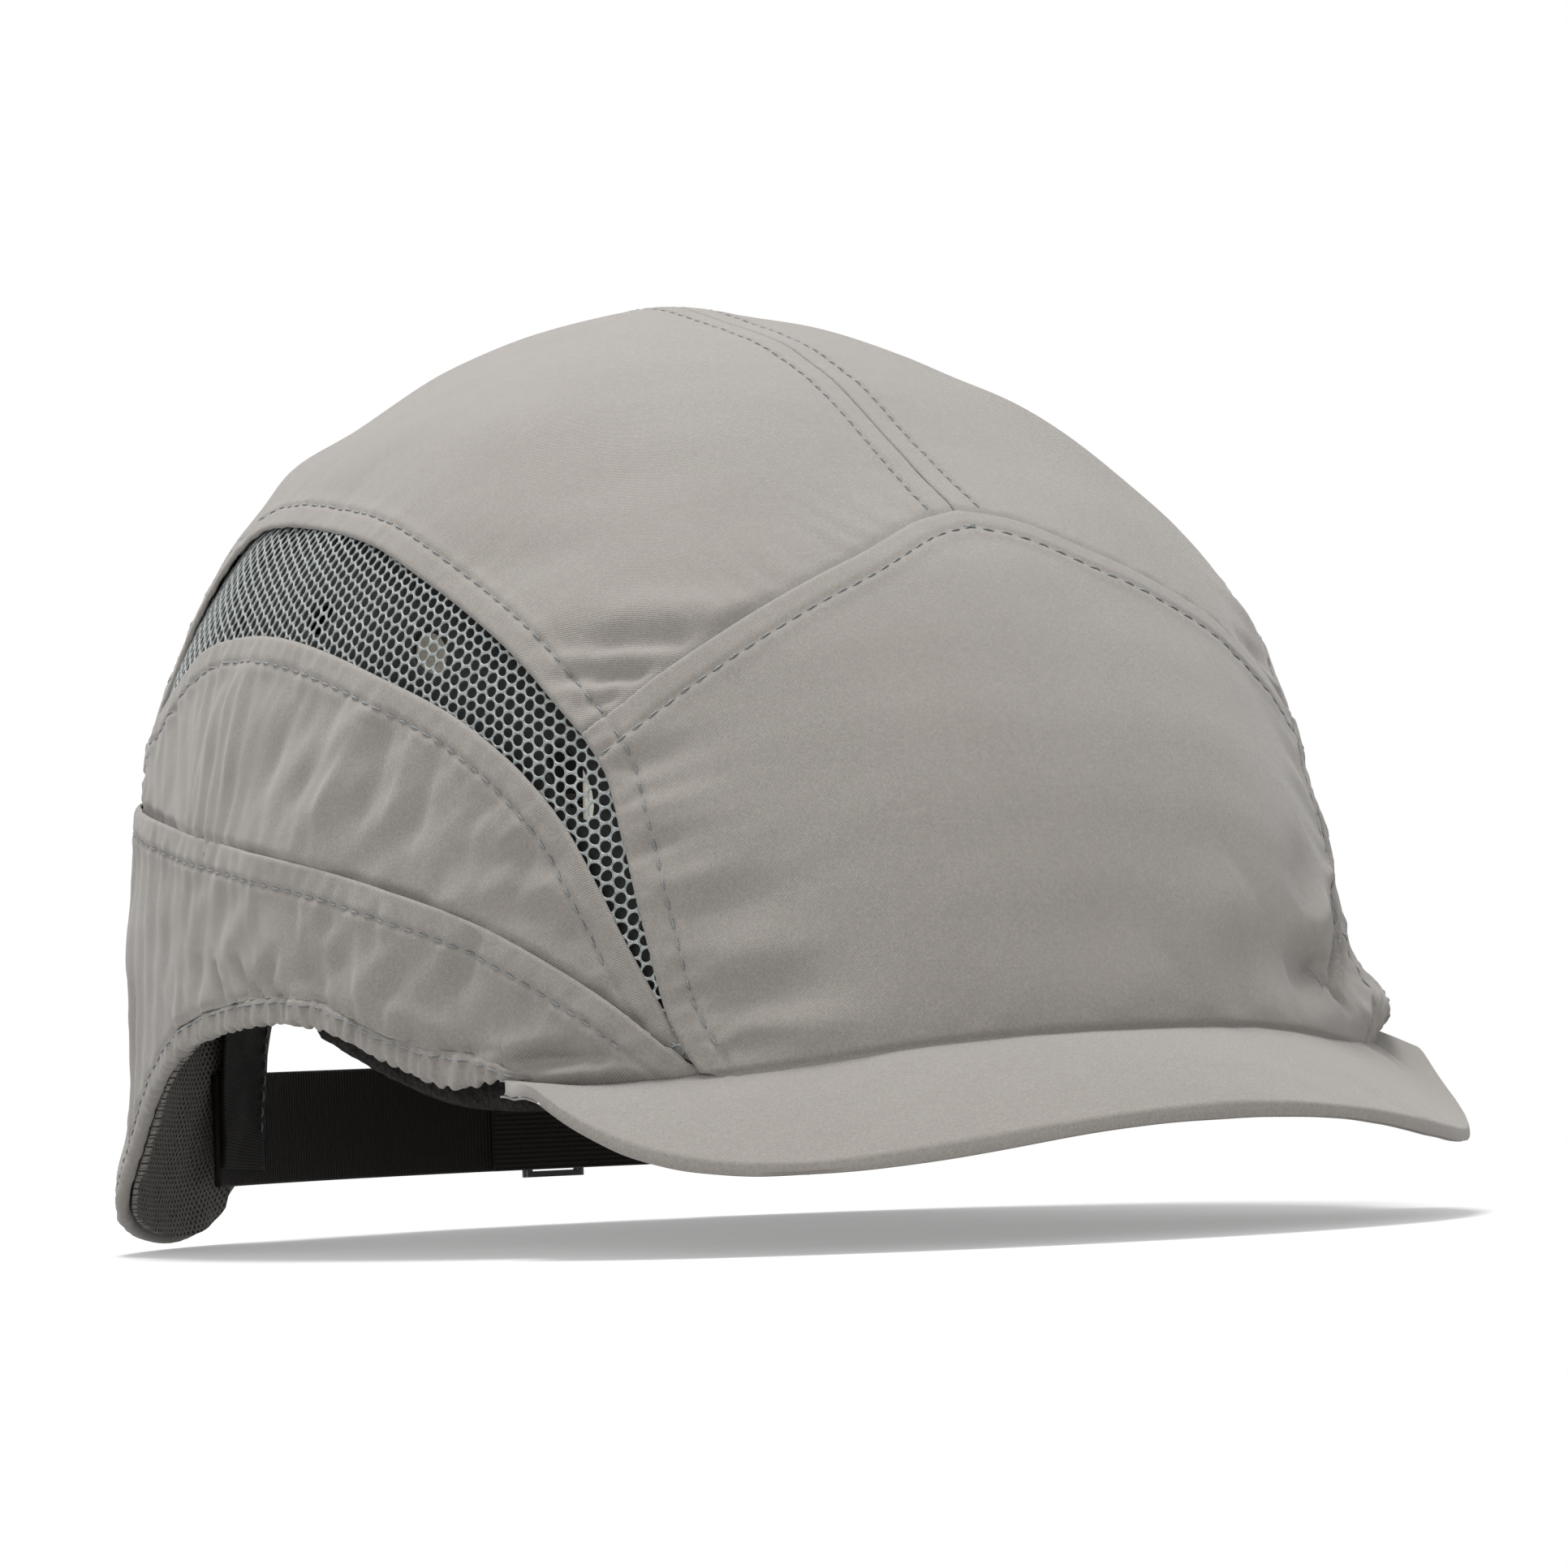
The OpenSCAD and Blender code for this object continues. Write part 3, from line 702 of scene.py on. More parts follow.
CROWN_FOLDS = {
    "right": [((51, 52.5), (38, 52), 2.0, -1.5), ((51, 57), (34, 57), 2.0, -1.2),
              ((48, 61), (27, 60), 3.6, 1.2), ((48, 48), (40, 49.3), 1.4, -1.0),
              ((49, 54.7), (37, 54.3), 1.3, 0.7), ((62, 70), (44, 73), 5.0, -0.6),
              ((49, 50.2), (40, 50.8), 1.1, 0.5), ((100, 84), (118, 96), 4.0, 0.7),
              ((112, 62), (130, 80), 3.5, -0.6)],
    "left": [((50, 53), (36, 58), 2.4, -1.0), ((51, 58), (40, 66), 2.4, 0.9),
             ((46, 49), (38, 53), 1.8, 0.6), ((104, 74), (120, 90), 3.5, -0.6)],
}
FRONT_FOLDS = [
    ((-41, 17.5), (-30, 22.5), 3.0, -1.3), ((-39.8, 7), (-27, 7.5), 3.2, -1.2),
    ((-40.5, 12), (-26, 14.5), 3.2, 0.8), ((-44, 27), (-38, 29.5), 2.2, -1.0),
    ((-43.5, 31.5), (-35, 35), 2.6, 0.7), ((-35, 9), (-18, 27), 9.0, -0.8),
    ((-38.5, -0.5), (-30, 1.5), 1.6, -0.6), ((-37, 3), (-24, 3.5), 2.8, 0.7),
    ((-44.8, 38), (-36, 43), 2.4, -0.7), ((-42.5, 22.5), (-36, 25), 2.2, 0.6),
    ((4, 9), (17, 22), 7.0, 1.0), ((10, 5), (22, 12), 5.0, -0.5),
    ((21, 6.5), (29, 9.5), 3.8, -2.2), ((25.5, 7), (31, 9.5), 1.7, -1.7),
    ((25, 17), (33, 27), 4.5, -0.9), ((27, 13), (34, 19), 2.6, 1.1),
    ((36, 15.5), (29.5, 4), 0.9, -1.9), ((38.5, 18), (32.5, 5), 0.8, -1.9),
    ((41, 19.5), (35, 6.5), 0.9, -1.6), ((27.5, 9), (32, 2), 0.9, -1.4),
    ((37, 16), (31, 4.5), 0.8, 0.7), ((36.5, 17.5), (40, 20.5), 1.4, -1.8),
    ((34, 21), (42, 23), 1.5, 1.0), ((34, 1), (43, 5), 2.0, 0.9),
]
SIDE_FOLDS = [
    ((65, 47.5), (69, 33), 2.0, -1.1), ((60.5, 43), (63.5, 29), 1.8, -0.8),
    ((71, 51), (76.5, 36), 2.2, -0.9), ((56, 37.5), (58.5, 25), 1.6, -0.7),
    ((77, 53), (81, 37), 2.0, -0.6), ((51.5, 30), (54, 19), 1.4, -0.7),
    ((68, 49), (73, 34), 1.8, 0.8), ((62.5, 45), (66, 31), 1.5, 0.6),
    ((47.5, 21), (50, 13), 1.2, -0.6), ((84, 57), (85.5, 38), 1.4, 0.4),
    ((90, 57), (90.5, 42), 1.2, -0.4),
]
BAND_FOLDS = [
    ((56.5, -0.5), (45, -0.3), 1.0, -1.1), ((54, -2), (42, -2.2), 1.3, 0.7),
    ((55, 2), (46, 3.2), 1.4, 0.6), ((56, 18), (60, 9), 2.0, -1.1),
    ((69, 17), (74.5, 9.5), 2.0, -1.0), ((62, 17.5), (66.5, 8), 1.8, -0.6),
    ((64.5, 17), (70, 8.5), 2.2, 0.8), ((57, 1), (66, 5), 1.6, -0.7),
    ((58, 4), (68, 9.5), 2.0, 0.6), ((86, 17), (85, 9.5), 0.9, -1.0),
    ((82.8, 17.5), (81, 9), 1.0, -1.2), ((81.5, 14.5), (79.3, 9), 0.9, -1.1),
    ((76.5, 17.5), (80.5, 11), 1.3, -0.9), ((84.4, 15), (83, 9), 0.8, 0.6),
    ((71, 17), (76, 11), 1.6, -0.7), ((79, 14), (77.5, 9), 0.9, -0.8),
    ((88.5, 18), (88, 9), 1.2, -0.6), ((92, 15), (92.5, 5), 1.2, 0.5),
]


def back_line(side, low, high):
    """The seam down the middle of the back."""
    return surface(np.full(40, 180.0 * side), np.linspace(low, high, 40))


def crown_panel(side_name):
    side = SIDES[side_name]
    seed = 11 if side > 0 else 37
    line = chart_line(FRONT_SEAM, 0, VENT_TOP, side)
    line[:, 1] -= UNDER * (1 - smooth(abs(line[:, 0]), VENT_TOP - 5, VENT_TOP))
    fore = to_crown(line)
    vent = to_crown(chart_line(MESH_UPPER, VENT_TOP, VENT_REAR, side))
    line = chart_line(REAR_SEAM, 180, VENT_REAR, side)
    line[:, 1] -= UNDER * smooth(abs(line[:, 0]), VENT_REAR, VENT_REAR + 5)
    rear = to_crown(line)
    middle = np.stack([np.zeros(400), np.linspace(fore[0, 1], rear[0, 1], 400)], -1)
    s = spacing(215, 0.7, 1.2, 10)
    t = spacing(112, 0.5, 1.15, 12)
    chart = coons(*(at_fractions(edge, f, crown_chart)
                    for edge, f in ((middle, s), (vent, s), (fore, t), (rear, t))), s, t)
    grid = crown_chart(chart)
    a = np.degrees(np.arctan2(chart[..., 0], -chart[..., 1]))
    z = height_at(a, np.hypot(chart[..., 0], chart[..., 1]))
    h = at_seam(grid, CENTRE_SEAM, lip, seed, 0.07, 0.25, 0.45)
    d, along = nearest(grid, seam(FRONT_SEAM, 0, VENT_TOP, side))
    under = (z < curve(FRONT_SEAM, abs(a))) & (abs(a) < VENT_TOP)
    h += plain(d, along, seed + 3, 0.2, under, 0.4)
    h += at_seam(grid, seam(MESH_UPPER, VENT_TOP, VENT_REAR, side), lip, seed + 5, 0.16, 0.4, 0.8)
    under = (z < curve(REAR_SEAM, abs(a))) & (abs(a) > VENT_REAR)
    h += at_seam(grid, seam(REAR_SEAM, VENT_REAR, 180, side), plain, seed + 7, 0.14, under)
    h += 0.4 * lumps(grid, 46, 19) + 0.07 * lumps(grid, 15, 20)
    h += folds(grid, side, CROWN_FOLDS[side_name]) * smooth(d, 0.2, 2.5)
    obj = sheet(f"crown_panel_{side_name}_cloth", grid, np.maximum(h, -1.3), 0.45,
                from_the_top(grid))
    finish_piece(obj, twill, [f"crown_panel_{side_name}"])


def front_panel():
    bottom = both_sides(chart_line, PEAK_SEAM, PEAK_END)
    bottom[:, 1] -= 1.5 * smooth(PEAK_END - abs(bottom[:, 0]), 0, 3)
    top = both_sides(chart_line, FRONT_SEAM, VENT_TOP)
    s = spacing(150, 0.55, 1.1, 10)
    t = spacing(85, 0.55, 1.1, 12)
    q = coons(at_fractions(bottom, s), at_fractions(top, s),
              *(at_fractions(chart_line(MESH_FRONT, PEAK_END, VENT_TOP, side), t)
                for side in (-1, 1)), s, t)
    grid = surface(q[..., 0], q[..., 1])
    h = at_seam(grid, FRONT_LINE, lip, 51, 0.1, 0.4, 0.5)
    for side in (1, -1):
        d, along = nearest(grid, seam(MESH_FRONT, PEAK_END, VENT_TOP, side))
        h += lip(d, along, 60 + side, 0.3, 0.42, 0.75)
        h += 0.34 * waves(along, d, 70 + side, 6, 13, -0.4) * smooth(d, 2, 8) * np.exp(-d / 14)
    d, along = nearest(grid, both_sides(seam, PEAK_SEAM, PEAK_END))
    d = np.where(q[..., 1] < curve(PEAK_SEAM, abs(q[..., 0])), 0, d)
    h += rounded(d, 0.7, 0.5) + 1.3 * np.exp(-((d / 8) ** 2))
    h += 0.16 * waves(along, d, 75, 6, 16) * smooth(d, 0.5, 3) * np.exp(-d / 9)
    h += 0.4 * lumps(grid, 46, 19) + 0.07 * lumps(grid, 16, 77)
    h += folds(grid, 1, FRONT_FOLDS)
    obj = sheet("front_panel_cloth", grid, h, 0.45)
    finish_piece(obj, twill, ["front_panel"])


def side_panel(side_name):
    side = SIDES[side_name]
    seed = 111 if side > 0 else 137
    a = np.concatenate([np.linspace(39.3, VENT_REAR, 190)[:-1], np.linspace(VENT_REAR, 180, 90)])
    low = curve(BAND_TOP, a) - UNDER * smooth(a, 40, 46)
    high = np.where(a < VENT_REAR, curve(MESH_LOWER, a), curve(REAR_SEAM, a))
    t = spacing(30, 0.4, 0.8, 9)
    z = low[:, None] + (high - low)[:, None] * t[None]
    a = np.broadcast_to(a[:, None], z.shape)
    grid = surface(a * side, z)
    rear = smooth(a, 74, 94)
    d, along = nearest(grid, seam(MESH_LOWER, 40, VENT_REAR, side))
    h = lip(d, along, seed, 0.3, 0.4, 0.75)
    fade = smooth(d, 1.5, 7)
    h += 0.85 * waves(along, d, seed + 1, 9, 17, -0.9) * fade * np.exp(-d / 30) * (1 - rear)
    h += 0.22 * waves(along, d, seed + 2, 3, 6, -0.4) * fade * np.exp(-d / 14)
    h += 0.42 * waves(along, d, seed + 12, 4, 8) * smooth(d, 1.5, 5) * rear
    h += at_seam(grid, seam(REAR_SEAM, VENT_REAR, 180, side), lip, seed + 3, 0.14, 0.35, 0.5)
    d, along = nearest(grid, seam(BAND_TOP, 38, 180, side))
    under = z < curve(BAND_TOP, a)
    h += plain(d, along, seed + 4, 0.3, under, 0.45)
    h += at_seam(grid, back_line(side, 44, 59), plain, seed + 5, 0.05)
    h += 0.25 * lumps(grid, 24, seed + 6) + 0.07 * lumps(grid, 9, seed + 7)
    creases = SIDE_FOLDS if side < 0 else SIDE_FOLDS[::2]
    h += 1.3 * folds(grid, side, creases) * smooth(np.where(under, 0, d), 0.2, 2.5)
    h -= 0.7 * (1 - smooth(a, 39.5, 41.5))
    h = np.maximum(h, -1.35)
    obj = sheet(f"side_panel_{side_name}_cloth", grid, h, 0.4)
    finish_piece(obj, twill, [f"side_panel_{side_name}"])


ARCH_LOW, ARCH_TALL = -18, 48
BINDING_W = 3.4  # of the binding round that opening, where the band's cloth starts


def arch_edge(t, grow=0.0):
    """Edge of the opening at the back, as angle and height, from its foot (0) to its top (90)
    and down again (180). It grows outwards by so many millimetres."""
    f = np.where(t <= 90, t, 180 - t)
    f = np.radians(np.clip(f, 0, 90))
    a = 180 - (180 - ARCH_FOOT + grow / 1.5) * np.cos(f) ** 0.75
    z = ARCH_LOW + (ARCH_TALL + grow) * np.sin(f) ** 0.75
    return np.stack([np.where(t <= 90, a, 360 - a), z], -1)


def hem_size(a):
    """Share of its full section that the hem has: it tapers where it tucks in at the peak."""
    return 0.15 + 0.85 * smooth(a, PEAK_CORNER - 3, PEAK_CORNER + 4)


def hem_top(a):
    """Height where the band's cloth goes under the hem."""
    return curve(HEM_EDGE, a) + HEM_W * hem_size(a) - 0.3


def hem_line(side):
    a = np.linspace(PEAK_CORNER, ARCH_FOOT, 500)
    return surface(a * side, curve(HEM_EDGE, a) + HEM_W)


def gather(along, d, seed):
    """The elastic's gathers: fine at the hem, fewer and softer further up."""
    fine = waves(along, d, seed, 1.7, 3.2, 0.15, 6)
    mid = waves(along, d, seed + 1, 3.4, 7.0, -0.4, 5)
    strength = 1 - 0.8 * smooth(along, 62, 88)
    return strength * (0.2 * fine * np.exp(-d / 3.2) + 0.34 * mid * np.exp(-d / 9)
                       + 0.38 * waves(along, d, seed + 2, 7, 13, -0.6, 5) * np.exp(-d / 18))


def rear_band(side_name):
    side = SIDES[side_name]
    seed = 211 if side > 0 else 237
    a = np.concatenate([np.linspace(37.4, 57, 50)[:-1], np.linspace(57, 149, 230)])
    under = curve(PEAK_SEAM, a) - 1.2 * smooth(PEAK_CORNER - a, 0, 3)
    edge = np.where(a < PEAK_CORNER, under, hem_top(a))
    arch_t = np.linspace(0, 90, 80)[1:]
    arch = arch_edge(arch_t, BINDING_W)
    low = np.concatenate([np.stack([a, edge], -1), arch])
    top_a = np.concatenate([a, ARCH_FOOT + (180 - ARCH_FOOT) * arch_t / 90])
    high = np.stack([top_a, curve(BAND_TOP, top_a)], -1)
    t = spacing(55, 0.42, 0.85, 10)
    q = low[:, None] + (high - low)[:, None] * t[None, :, None]
    grid = surface(q[..., 0] * side, q[..., 1])
    rear = smooth(q[..., 0], 78, 95)
    d, along = nearest(grid, seam(BAND_TOP, 38, 180, side))
    h = lip(d, along, seed, 0.3, 0.42, 0.5)
    fade = smooth(d, 2, 8)
    h += 0.85 * waves(along, d, seed + 1, 7, 13, -0.7) * fade * np.exp(-d / 24) * (1 - rear)
    h += 0.38 * waves(along, d, seed + 11, 4.5, 9) * fade * rear
    d, along = nearest(grid, hem_line(side))
    h += gather(along, d, seed + 2)
    h -= 0.35 * np.exp(-(d / 0.8) ** 2)
    d, along = nearest(grid, seam(PEAK_SEAM, PEAK_END, PEAK_CORNER, side))
    d = np.where((q[..., 1] < curve(PEAK_SEAM, q[..., 0])) & (q[..., 0] < PEAK_CORNER), 0, d)
    h += rounded(d, 1.6, 0.7) + 0.15 * waves(along, d, seed + 5, 4, 9) * np.exp(-d / 5)
    u = arch_edge(np.linspace(0, 90, 300), BINDING_W)
    h += at_seam(grid, surface(u[:, 0] * side, u[:, 1]), plain, seed + 6, 0.22, None, 0.35)
    h += at_seam(grid, back_line(side, 33, 46), plain, seed + 7, 0.05)
    h += 0.25 * lumps(grid, 22, seed + 8) + 0.07 * lumps(grid, 8, seed + 9)
    h += 1.25 * folds(grid, side, BAND_FOLDS)
    h -= 0.9 * (1 - smooth(q[..., 0], 38, 40.5))
    h = np.maximum(h, -1.6)
    obj = sheet(f"rear_band_{side_name}_cloth", grid, h, 0.4)
    finish_piece(obj, twill, [f"rear_band_{side_name}"])


# ---------------------------------------------------------------- hem, elastic, arch binding
def rounded_loop(width, depth, radius, count=5):
    """Loop of [v, depth] round a flat section, v from 0 to width."""
    corners = [(width - radius, radius, 0), (width - radius, depth - radius, 90),
               (radius, depth - radius, 180), (radius, radius, 270)]
    loop = []
    for v, w, start in corners:
        for k in range(count + 1):
            turn = math.radians(start + 90 * k / count)
            loop.append([v + radius * math.sin(turn), w - radius * math.cos(turn)])
    return np.array(loop)


def outward(a, z):
    """The cap's surface at angles and heights, and its direction outwards."""
    base = surface(a, z)
    return base, unit(base - surface(a, z, 1.0))


def ear_hem(side_name):
    """Gathered hem over the ear, with its elastic inside."""
    side = SIDES[side_name]
    seed = 213 if side > 0 else 239
    a = np.linspace(PEAK_CORNER - 3, ARCH_FOOT + 0.1, 640)
    loop = rounded_loop(HEM_W + 0.1, 2.1, 0.9)
    size = hem_size(a)
    sink = 0.9 * (1 - smooth(a, PEAK_CORNER - 3, PEAK_CORNER + 1))[:, None]
    drop = 1.1 * np.exp(-((a - 60) / 3.5) ** 2)[:, None]
    v = loop[None, :, 0] * size[:, None]
    w = loop[None, :, 1] * size[:, None] - 0.1 + sink
    angle = np.broadcast_to(a[:, None], v.shape)
    height = curve(HEM_EDGE, a)[:, None] + v - drop * (1 - v / HEM_W)
    base, n = outward(angle * side, height)
    _, along = nearest(surface(a * side, curve(HEM_EDGE, a) + HEM_W), hem_line(side))
    ripple = np.maximum(gather(along, np.zeros_like(along), seed), -0.5)[:, None]
    face, low = 1 - w, 1 - v / HEM_W
    out = ripple * np.clip(face, -0.6, 1) * (1 + 0.5 * low)
    out -= 0.7 * np.exp(-((v - HEM_W) / 0.8) ** 2) * (face > 0)
    grid = base - n * w[..., None] + n * out[..., None]
    lift = 0.35 * waves(along, along * 0, seed + 9, 1.8, 3.4)[:, None] * low
    grid[..., 2] += np.clip(lift, -0.3, 0.3) * (1 - 0.9 * smooth(a, 96, 112))[:, None]
    obj = tube(f"ear_hem_{side_name}_cloth", grid, along, lengths(loop))
    finish_piece(obj, twill, [f"ear_hem_{side_name}"])
    # the elastic inside the channel
    a = np.linspace(PEAK_CORNER + 5, 145, 240)
    loop = rounded_loop(HEM_W - 1.6, 0.5, 0.2, 3) + [0.8, 0.95]
    v, w = loop.T
    base, n = outward(a[:, None] * side, curve(HEM_EDGE, a)[:, None] + v)
    obj = tube(f"ear_elastic_{side_name}_band", base - n * w[:, None], lengths(base[:, 0]), v)
    finish_piece(obj, elastic, [f"ear_elastic_{side_name}"])


def arch_binding():
    """Folded tape round the edge of the opening at the back."""
    half = np.concatenate([np.linspace(-1, 0.3, 9)[:-1], np.linspace(0.3, 3, 10)[:-1],
                           np.linspace(3, 60, 120)[:-1], np.linspace(60, 90, 46)])
    t = np.concatenate([half, 180 - half[-2::-1]])
    tuck = np.clip(np.maximum(-t, t - 180), 0, 1)
    loop = rounded_loop(3.7, 2.2, 0.9)
    shape = (len(t), len(loop))
    v, w = np.broadcast_to(loop[:, 0], shape), np.broadcast_to(loop[:, 1] - 0.3, shape)
    w = w + 0.6 * smooth(tuck, 0, 0.4)[:, None] * (1 - w / 1.9)
    q = arch_edge(np.broadcast_to(t[:, None], shape), v)
    # past its foot the tape runs on under the end of the hem
    room = ARCH_LOW - 0.9 - curve(HEM_EDGE, 180 - abs(180 - q[..., 0]))
    q[..., 1] -= tuck[:, None] * np.maximum(1.5 * room, 0.1)
    base, n = outward(q[..., 0], q[..., 1])
    along = lengths(surface(*(arch_edge(t) - np.array([0, 3.0]) * tuck[:, None]).T))
    out = 0.12 * waves(np.broadcast_to(along[:, None], shape), v, 301, 3, 8) * np.clip(1 - w, -1, 1)
    out = out - 0.22 * np.exp(-((v - 1.9) / 0.45) ** 2) * (w < 0.4)
    obj = tube("arch_binding_tape", base - n * (w - out)[..., None], along, lengths(loop))
    finish_piece(obj, twill, ["arch_binding"])


# ---------------------------------------------------------------- vent net
NET_COLUMN, NET_PITCH = 1.65, 2.1  # from column to column of eyelets, and down a column
NET_FROM, NET_TO, NET_TABLE = 36, 124, 45  # angles between which the net is laid flat, and steps


def vent_net(side_name):
    """Knitted hexagonal net: every eyelet is a ring of cloth with a rounded hole in it."""
    side = SIDES[side_name]
    a = np.linspace(NET_FROM, NET_TO, 1400)
    low = curve(MESH_LOWER, np.clip(a, 40, VENT_REAR))
    high = np.where(a < VENT_TOP, curve(MESH_FRONT, np.clip(a, 40, VENT_TOP)),
                    curve(MESH_UPPER, np.clip(a, VENT_TOP, VENT_REAR)))
    s_of_a = lengths(surface(a, 45))
    zs = np.linspace(-8, 95, 600)
    table = np.stack([lengths(surface(np.full(600, x), zs))
                      for x in np.linspace(NET_FROM, NET_TO, NET_TABLE)])
    table = table - table[:, [int(np.argmin(abs(zs)))]]

    def to_surface(su, tv):
        """From lengths along and up the flat net to angles and heights."""
        ang = np.interp(su, s_of_a, a)
        k = np.clip((ang - NET_FROM) / 2, 0, 43.999)
        row = k.astype(int)
        z = np.empty(ang.shape)
        for r in np.unique(row):
            m = row == r
            z0, z1 = (np.interp(tv[m], table[n], zs) for n in (r, r + 1))
            z[m] = z0 + (z1 - z0) * (k - row)[m]
        return ang, z

    cu, cv = np.meshgrid(np.arange(int(s_of_a[-1] / NET_COLUMN)), np.arange(-4, 70), indexing="ij")
    centre_u = cu * NET_COLUMN
    centre_v = cv * NET_PITCH + (cu % 2) * NET_PITCH / 2
    ang, z = to_surface(centre_u, centre_v)
    inside = ((z > np.interp(ang, a, low)) & (z < np.interp(ang, a, high))
              & (ang > 40) & (ang < VENT_REAR))
    outline = np.concatenate([seam(MESH_LOWER, 40, VENT_REAR, side),
                              seam(MESH_UPPER, VENT_REAR, VENT_TOP, side),
                              seam(MESH_FRONT, VENT_TOP, 40, side)])
    d, _ = nearest(surface(ang * side, z), outline, 0.4)
    twelve = np.arange(12) * 2 * np.pi / 12
    w, h = 2 * NET_COLUMN / 3, NET_PITCH / 2
    quarter = np.array([[w, 0], [0.75 * w, h / 2], [w / 2, h], [0, h]])
    hexagon = np.concatenate([quarter, quarter[2::-1] * [-1, 1], quarter[1:] * -1,
                              quarter[2:0:-1] * [1, -1]])
    hole = np.stack([0.84 * np.cos(twelve), 0.85 * np.sin(twelve)], -1)
    number, flat, faces = {}, [], []

    def vertex(key, u, v):
        if key not in number:
            number[key] = len(flat)
            flat.append((u, v))
        return number[key]

    for i, j in np.argwhere(inside | (d < UNDER)):
        u0, v0 = centre_u[i, j], centre_v[i, j]
        outer = [vertex((round((u0 + x) * 60), round((v0 + y) * 60)), u0 + x, v0 + y)
                 for x, y in hexagon]
        inner = [vertex((i, j, k), u0 + x, v0 + y) for k, (x, y) in enumerate(hole)]
        for k in range(12):
            m = (k + 1) % 12
            faces.append([outer[k], outer[m], inner[m], inner[k]][::side])
    flat = np.array(flat)
    rng = np.random.default_rng(400 + side)
    wobble = [0.07 * lumps(np.c_[flat, flat[:, :1] * 0], size, seed + side)
              for size, seed in ((3.0, 410), (3.4, 420))]
    ang, z = to_surface(flat[:, 0] + wobble[0], flat[:, 1] + wobble[1])
    base, n = outward(ang * side, z)
    sag = 0.68 + 0.16 * lumps(base, 26, 430) + 0.03 * rng.normal(size=len(base))
    base = base - n * np.clip(sag, 0.5, 0.95)[:, None]
    obj = new_mesh(f"mesh_vent_{side_name}_net", base, faces, flat)
    modifier(obj, "SOLIDIFY", thickness=0.00034, offset=0.0)
    modifier(obj, "SUBSURF", levels=1, render_levels=1)
    finish_piece(obj, net, [f"mesh_vent_{side_name}"])


# ---------------------------------------------------------------- peak
# The peak's edge, seen from above, is part of an ellipse: half its width, how far it reaches
# forward of its middle, where that is, and how far it turns to each corner
PEAK_HALF, PEAK_REACH, PEAK_Y, PEAK_TURN = 76.5, 77.5, -51.5, 86
BOARD_LOW = 2.2  # how far below the board's top its under cover lies


def peak_frame(across):
    """Root and edge of the peak, for places across it from -1 to 1."""
    root_a = across * PEAK_CORNER
    root = surface(root_a, curve(PEAK_SEAM, abs(root_a)), stiff=True)
    turn = np.radians(across * PEAK_TURN)
    x = PEAK_HALF * np.sin(turn)
    y = PEAK_Y - PEAK_REACH * np.cos(turn)
    rise = y + 105
    rise = np.where(rise < 34, rise, 38 - 4 * np.exp((34 - rise) / 4))
    edge = np.stack([x, y, 14.3 - 0.0096 * x**2 + rise], -1)
    corner = np.clip((abs(across) - 0.9) / 0.1, 0, None) ** 1.5
    edge = edge + (root + [0, -1, 0] - edge) * corner[:, None]
    return root, edge


def peak_sheet(name, profile, thickness, nodes, material, under=False):
    """Sheet over the peak. The profile lists how far in from the edge, as a fraction of the
    way to the seam plus millimetres, and how far down."""
    across = np.concatenate([np.linspace(-1, -0.93, 26)[:-1], np.linspace(-0.93, 0.93, 190),
                             np.linspace(0.93, 1, 26)[1:]])
    root, edge = peak_frame(across)
    reach = np.linalg.norm(edge - root, axis=1)
    way = unit(edge - root)
    grid = []
    for part, inset, down in profile:
        back = part * reach + np.minimum(inset, 0.45 * reach)
        out = 1 - back / np.maximum(reach, 1e-6)
        crown = 1.2 * np.sin(np.pi * np.clip(out, 0, 1)) * (1 - across**2)
        grid.append(root + way * (reach - back)[:, None] + (crown - down)[:, None] * [0, 0, 1])
    grid = np.stack(grid, 1)
    h = 0.10 * lumps(grid, 34, 501) + 0.03 * lumps(grid, 9, 502)
    if not under:
        from_root = np.linalg.norm(grid - root[:, None], axis=-1)
        place = np.broadcast_to(across[:, None] * 70, from_root.shape)
        h = h + 0.05 * waves(place, from_root, 503, 4, 11) * np.exp(-from_root / 6)
        puff = np.exp(-((across - 0.74) / 0.17) ** 2)[:, None] * (1 - smooth(from_root, 0, 11))
        h = h + 2.2 * puff * smooth(np.linspace(1, 0, grid.shape[1]), 0, 0.2)[None]
        bunch = smooth(across, 0.78, 0.93)[:, None] * np.array([q[0] for q in profile])
        grid = grid + np.array([0, 0, 3.4]) * bunch[..., None]
    h = h * np.minimum(1, reach / 8)[:, None]
    n = normals(grid)
    if (n[len(n) // 2, 3, 2] < 0) != under:
        n = -n
    outer = grid + n * h[..., None]
    obj = solid(name, outer, outer - n * thickness, cloth_of(grid))
    finish_piece(obj, material, nodes)


def peak():
    """Covers of the peak: the top one turns over the board's edge."""
    back = [(1 - f, 0.42, 0.0) for f in np.linspace(0, 1, 78) ** 0.9]
    turn = np.radians(np.linspace(0, 90, 6))[1:]
    over = [(0, 0.4 - 0.4 * math.sin(x), 0.4 - 0.4 * math.cos(x)) for x in turn]
    face = [(0, -0.06, 0.8), (0, -0.08, 1.15), (0, -0.05, 1.5), (0, 0.0, 1.75)]
    wrap = [(0, 0.1, 1.93), (0, 0.35, 2.05), (0, 0.8, 2.08), (0, 2.0, 2.08), (0, 4.0, 2.08)]
    peak_sheet("brim_cover_top_cloth", back + over + face + wrap, 0.3, ["brim_cover_top"], twill)
    low = [(f, 0.7, BOARD_LOW) for f in np.linspace(0, 1, 70)]
    peak_sheet("brim_cover_under_cloth", low, -0.3, ["brim_cover_under"], twill, under=True)


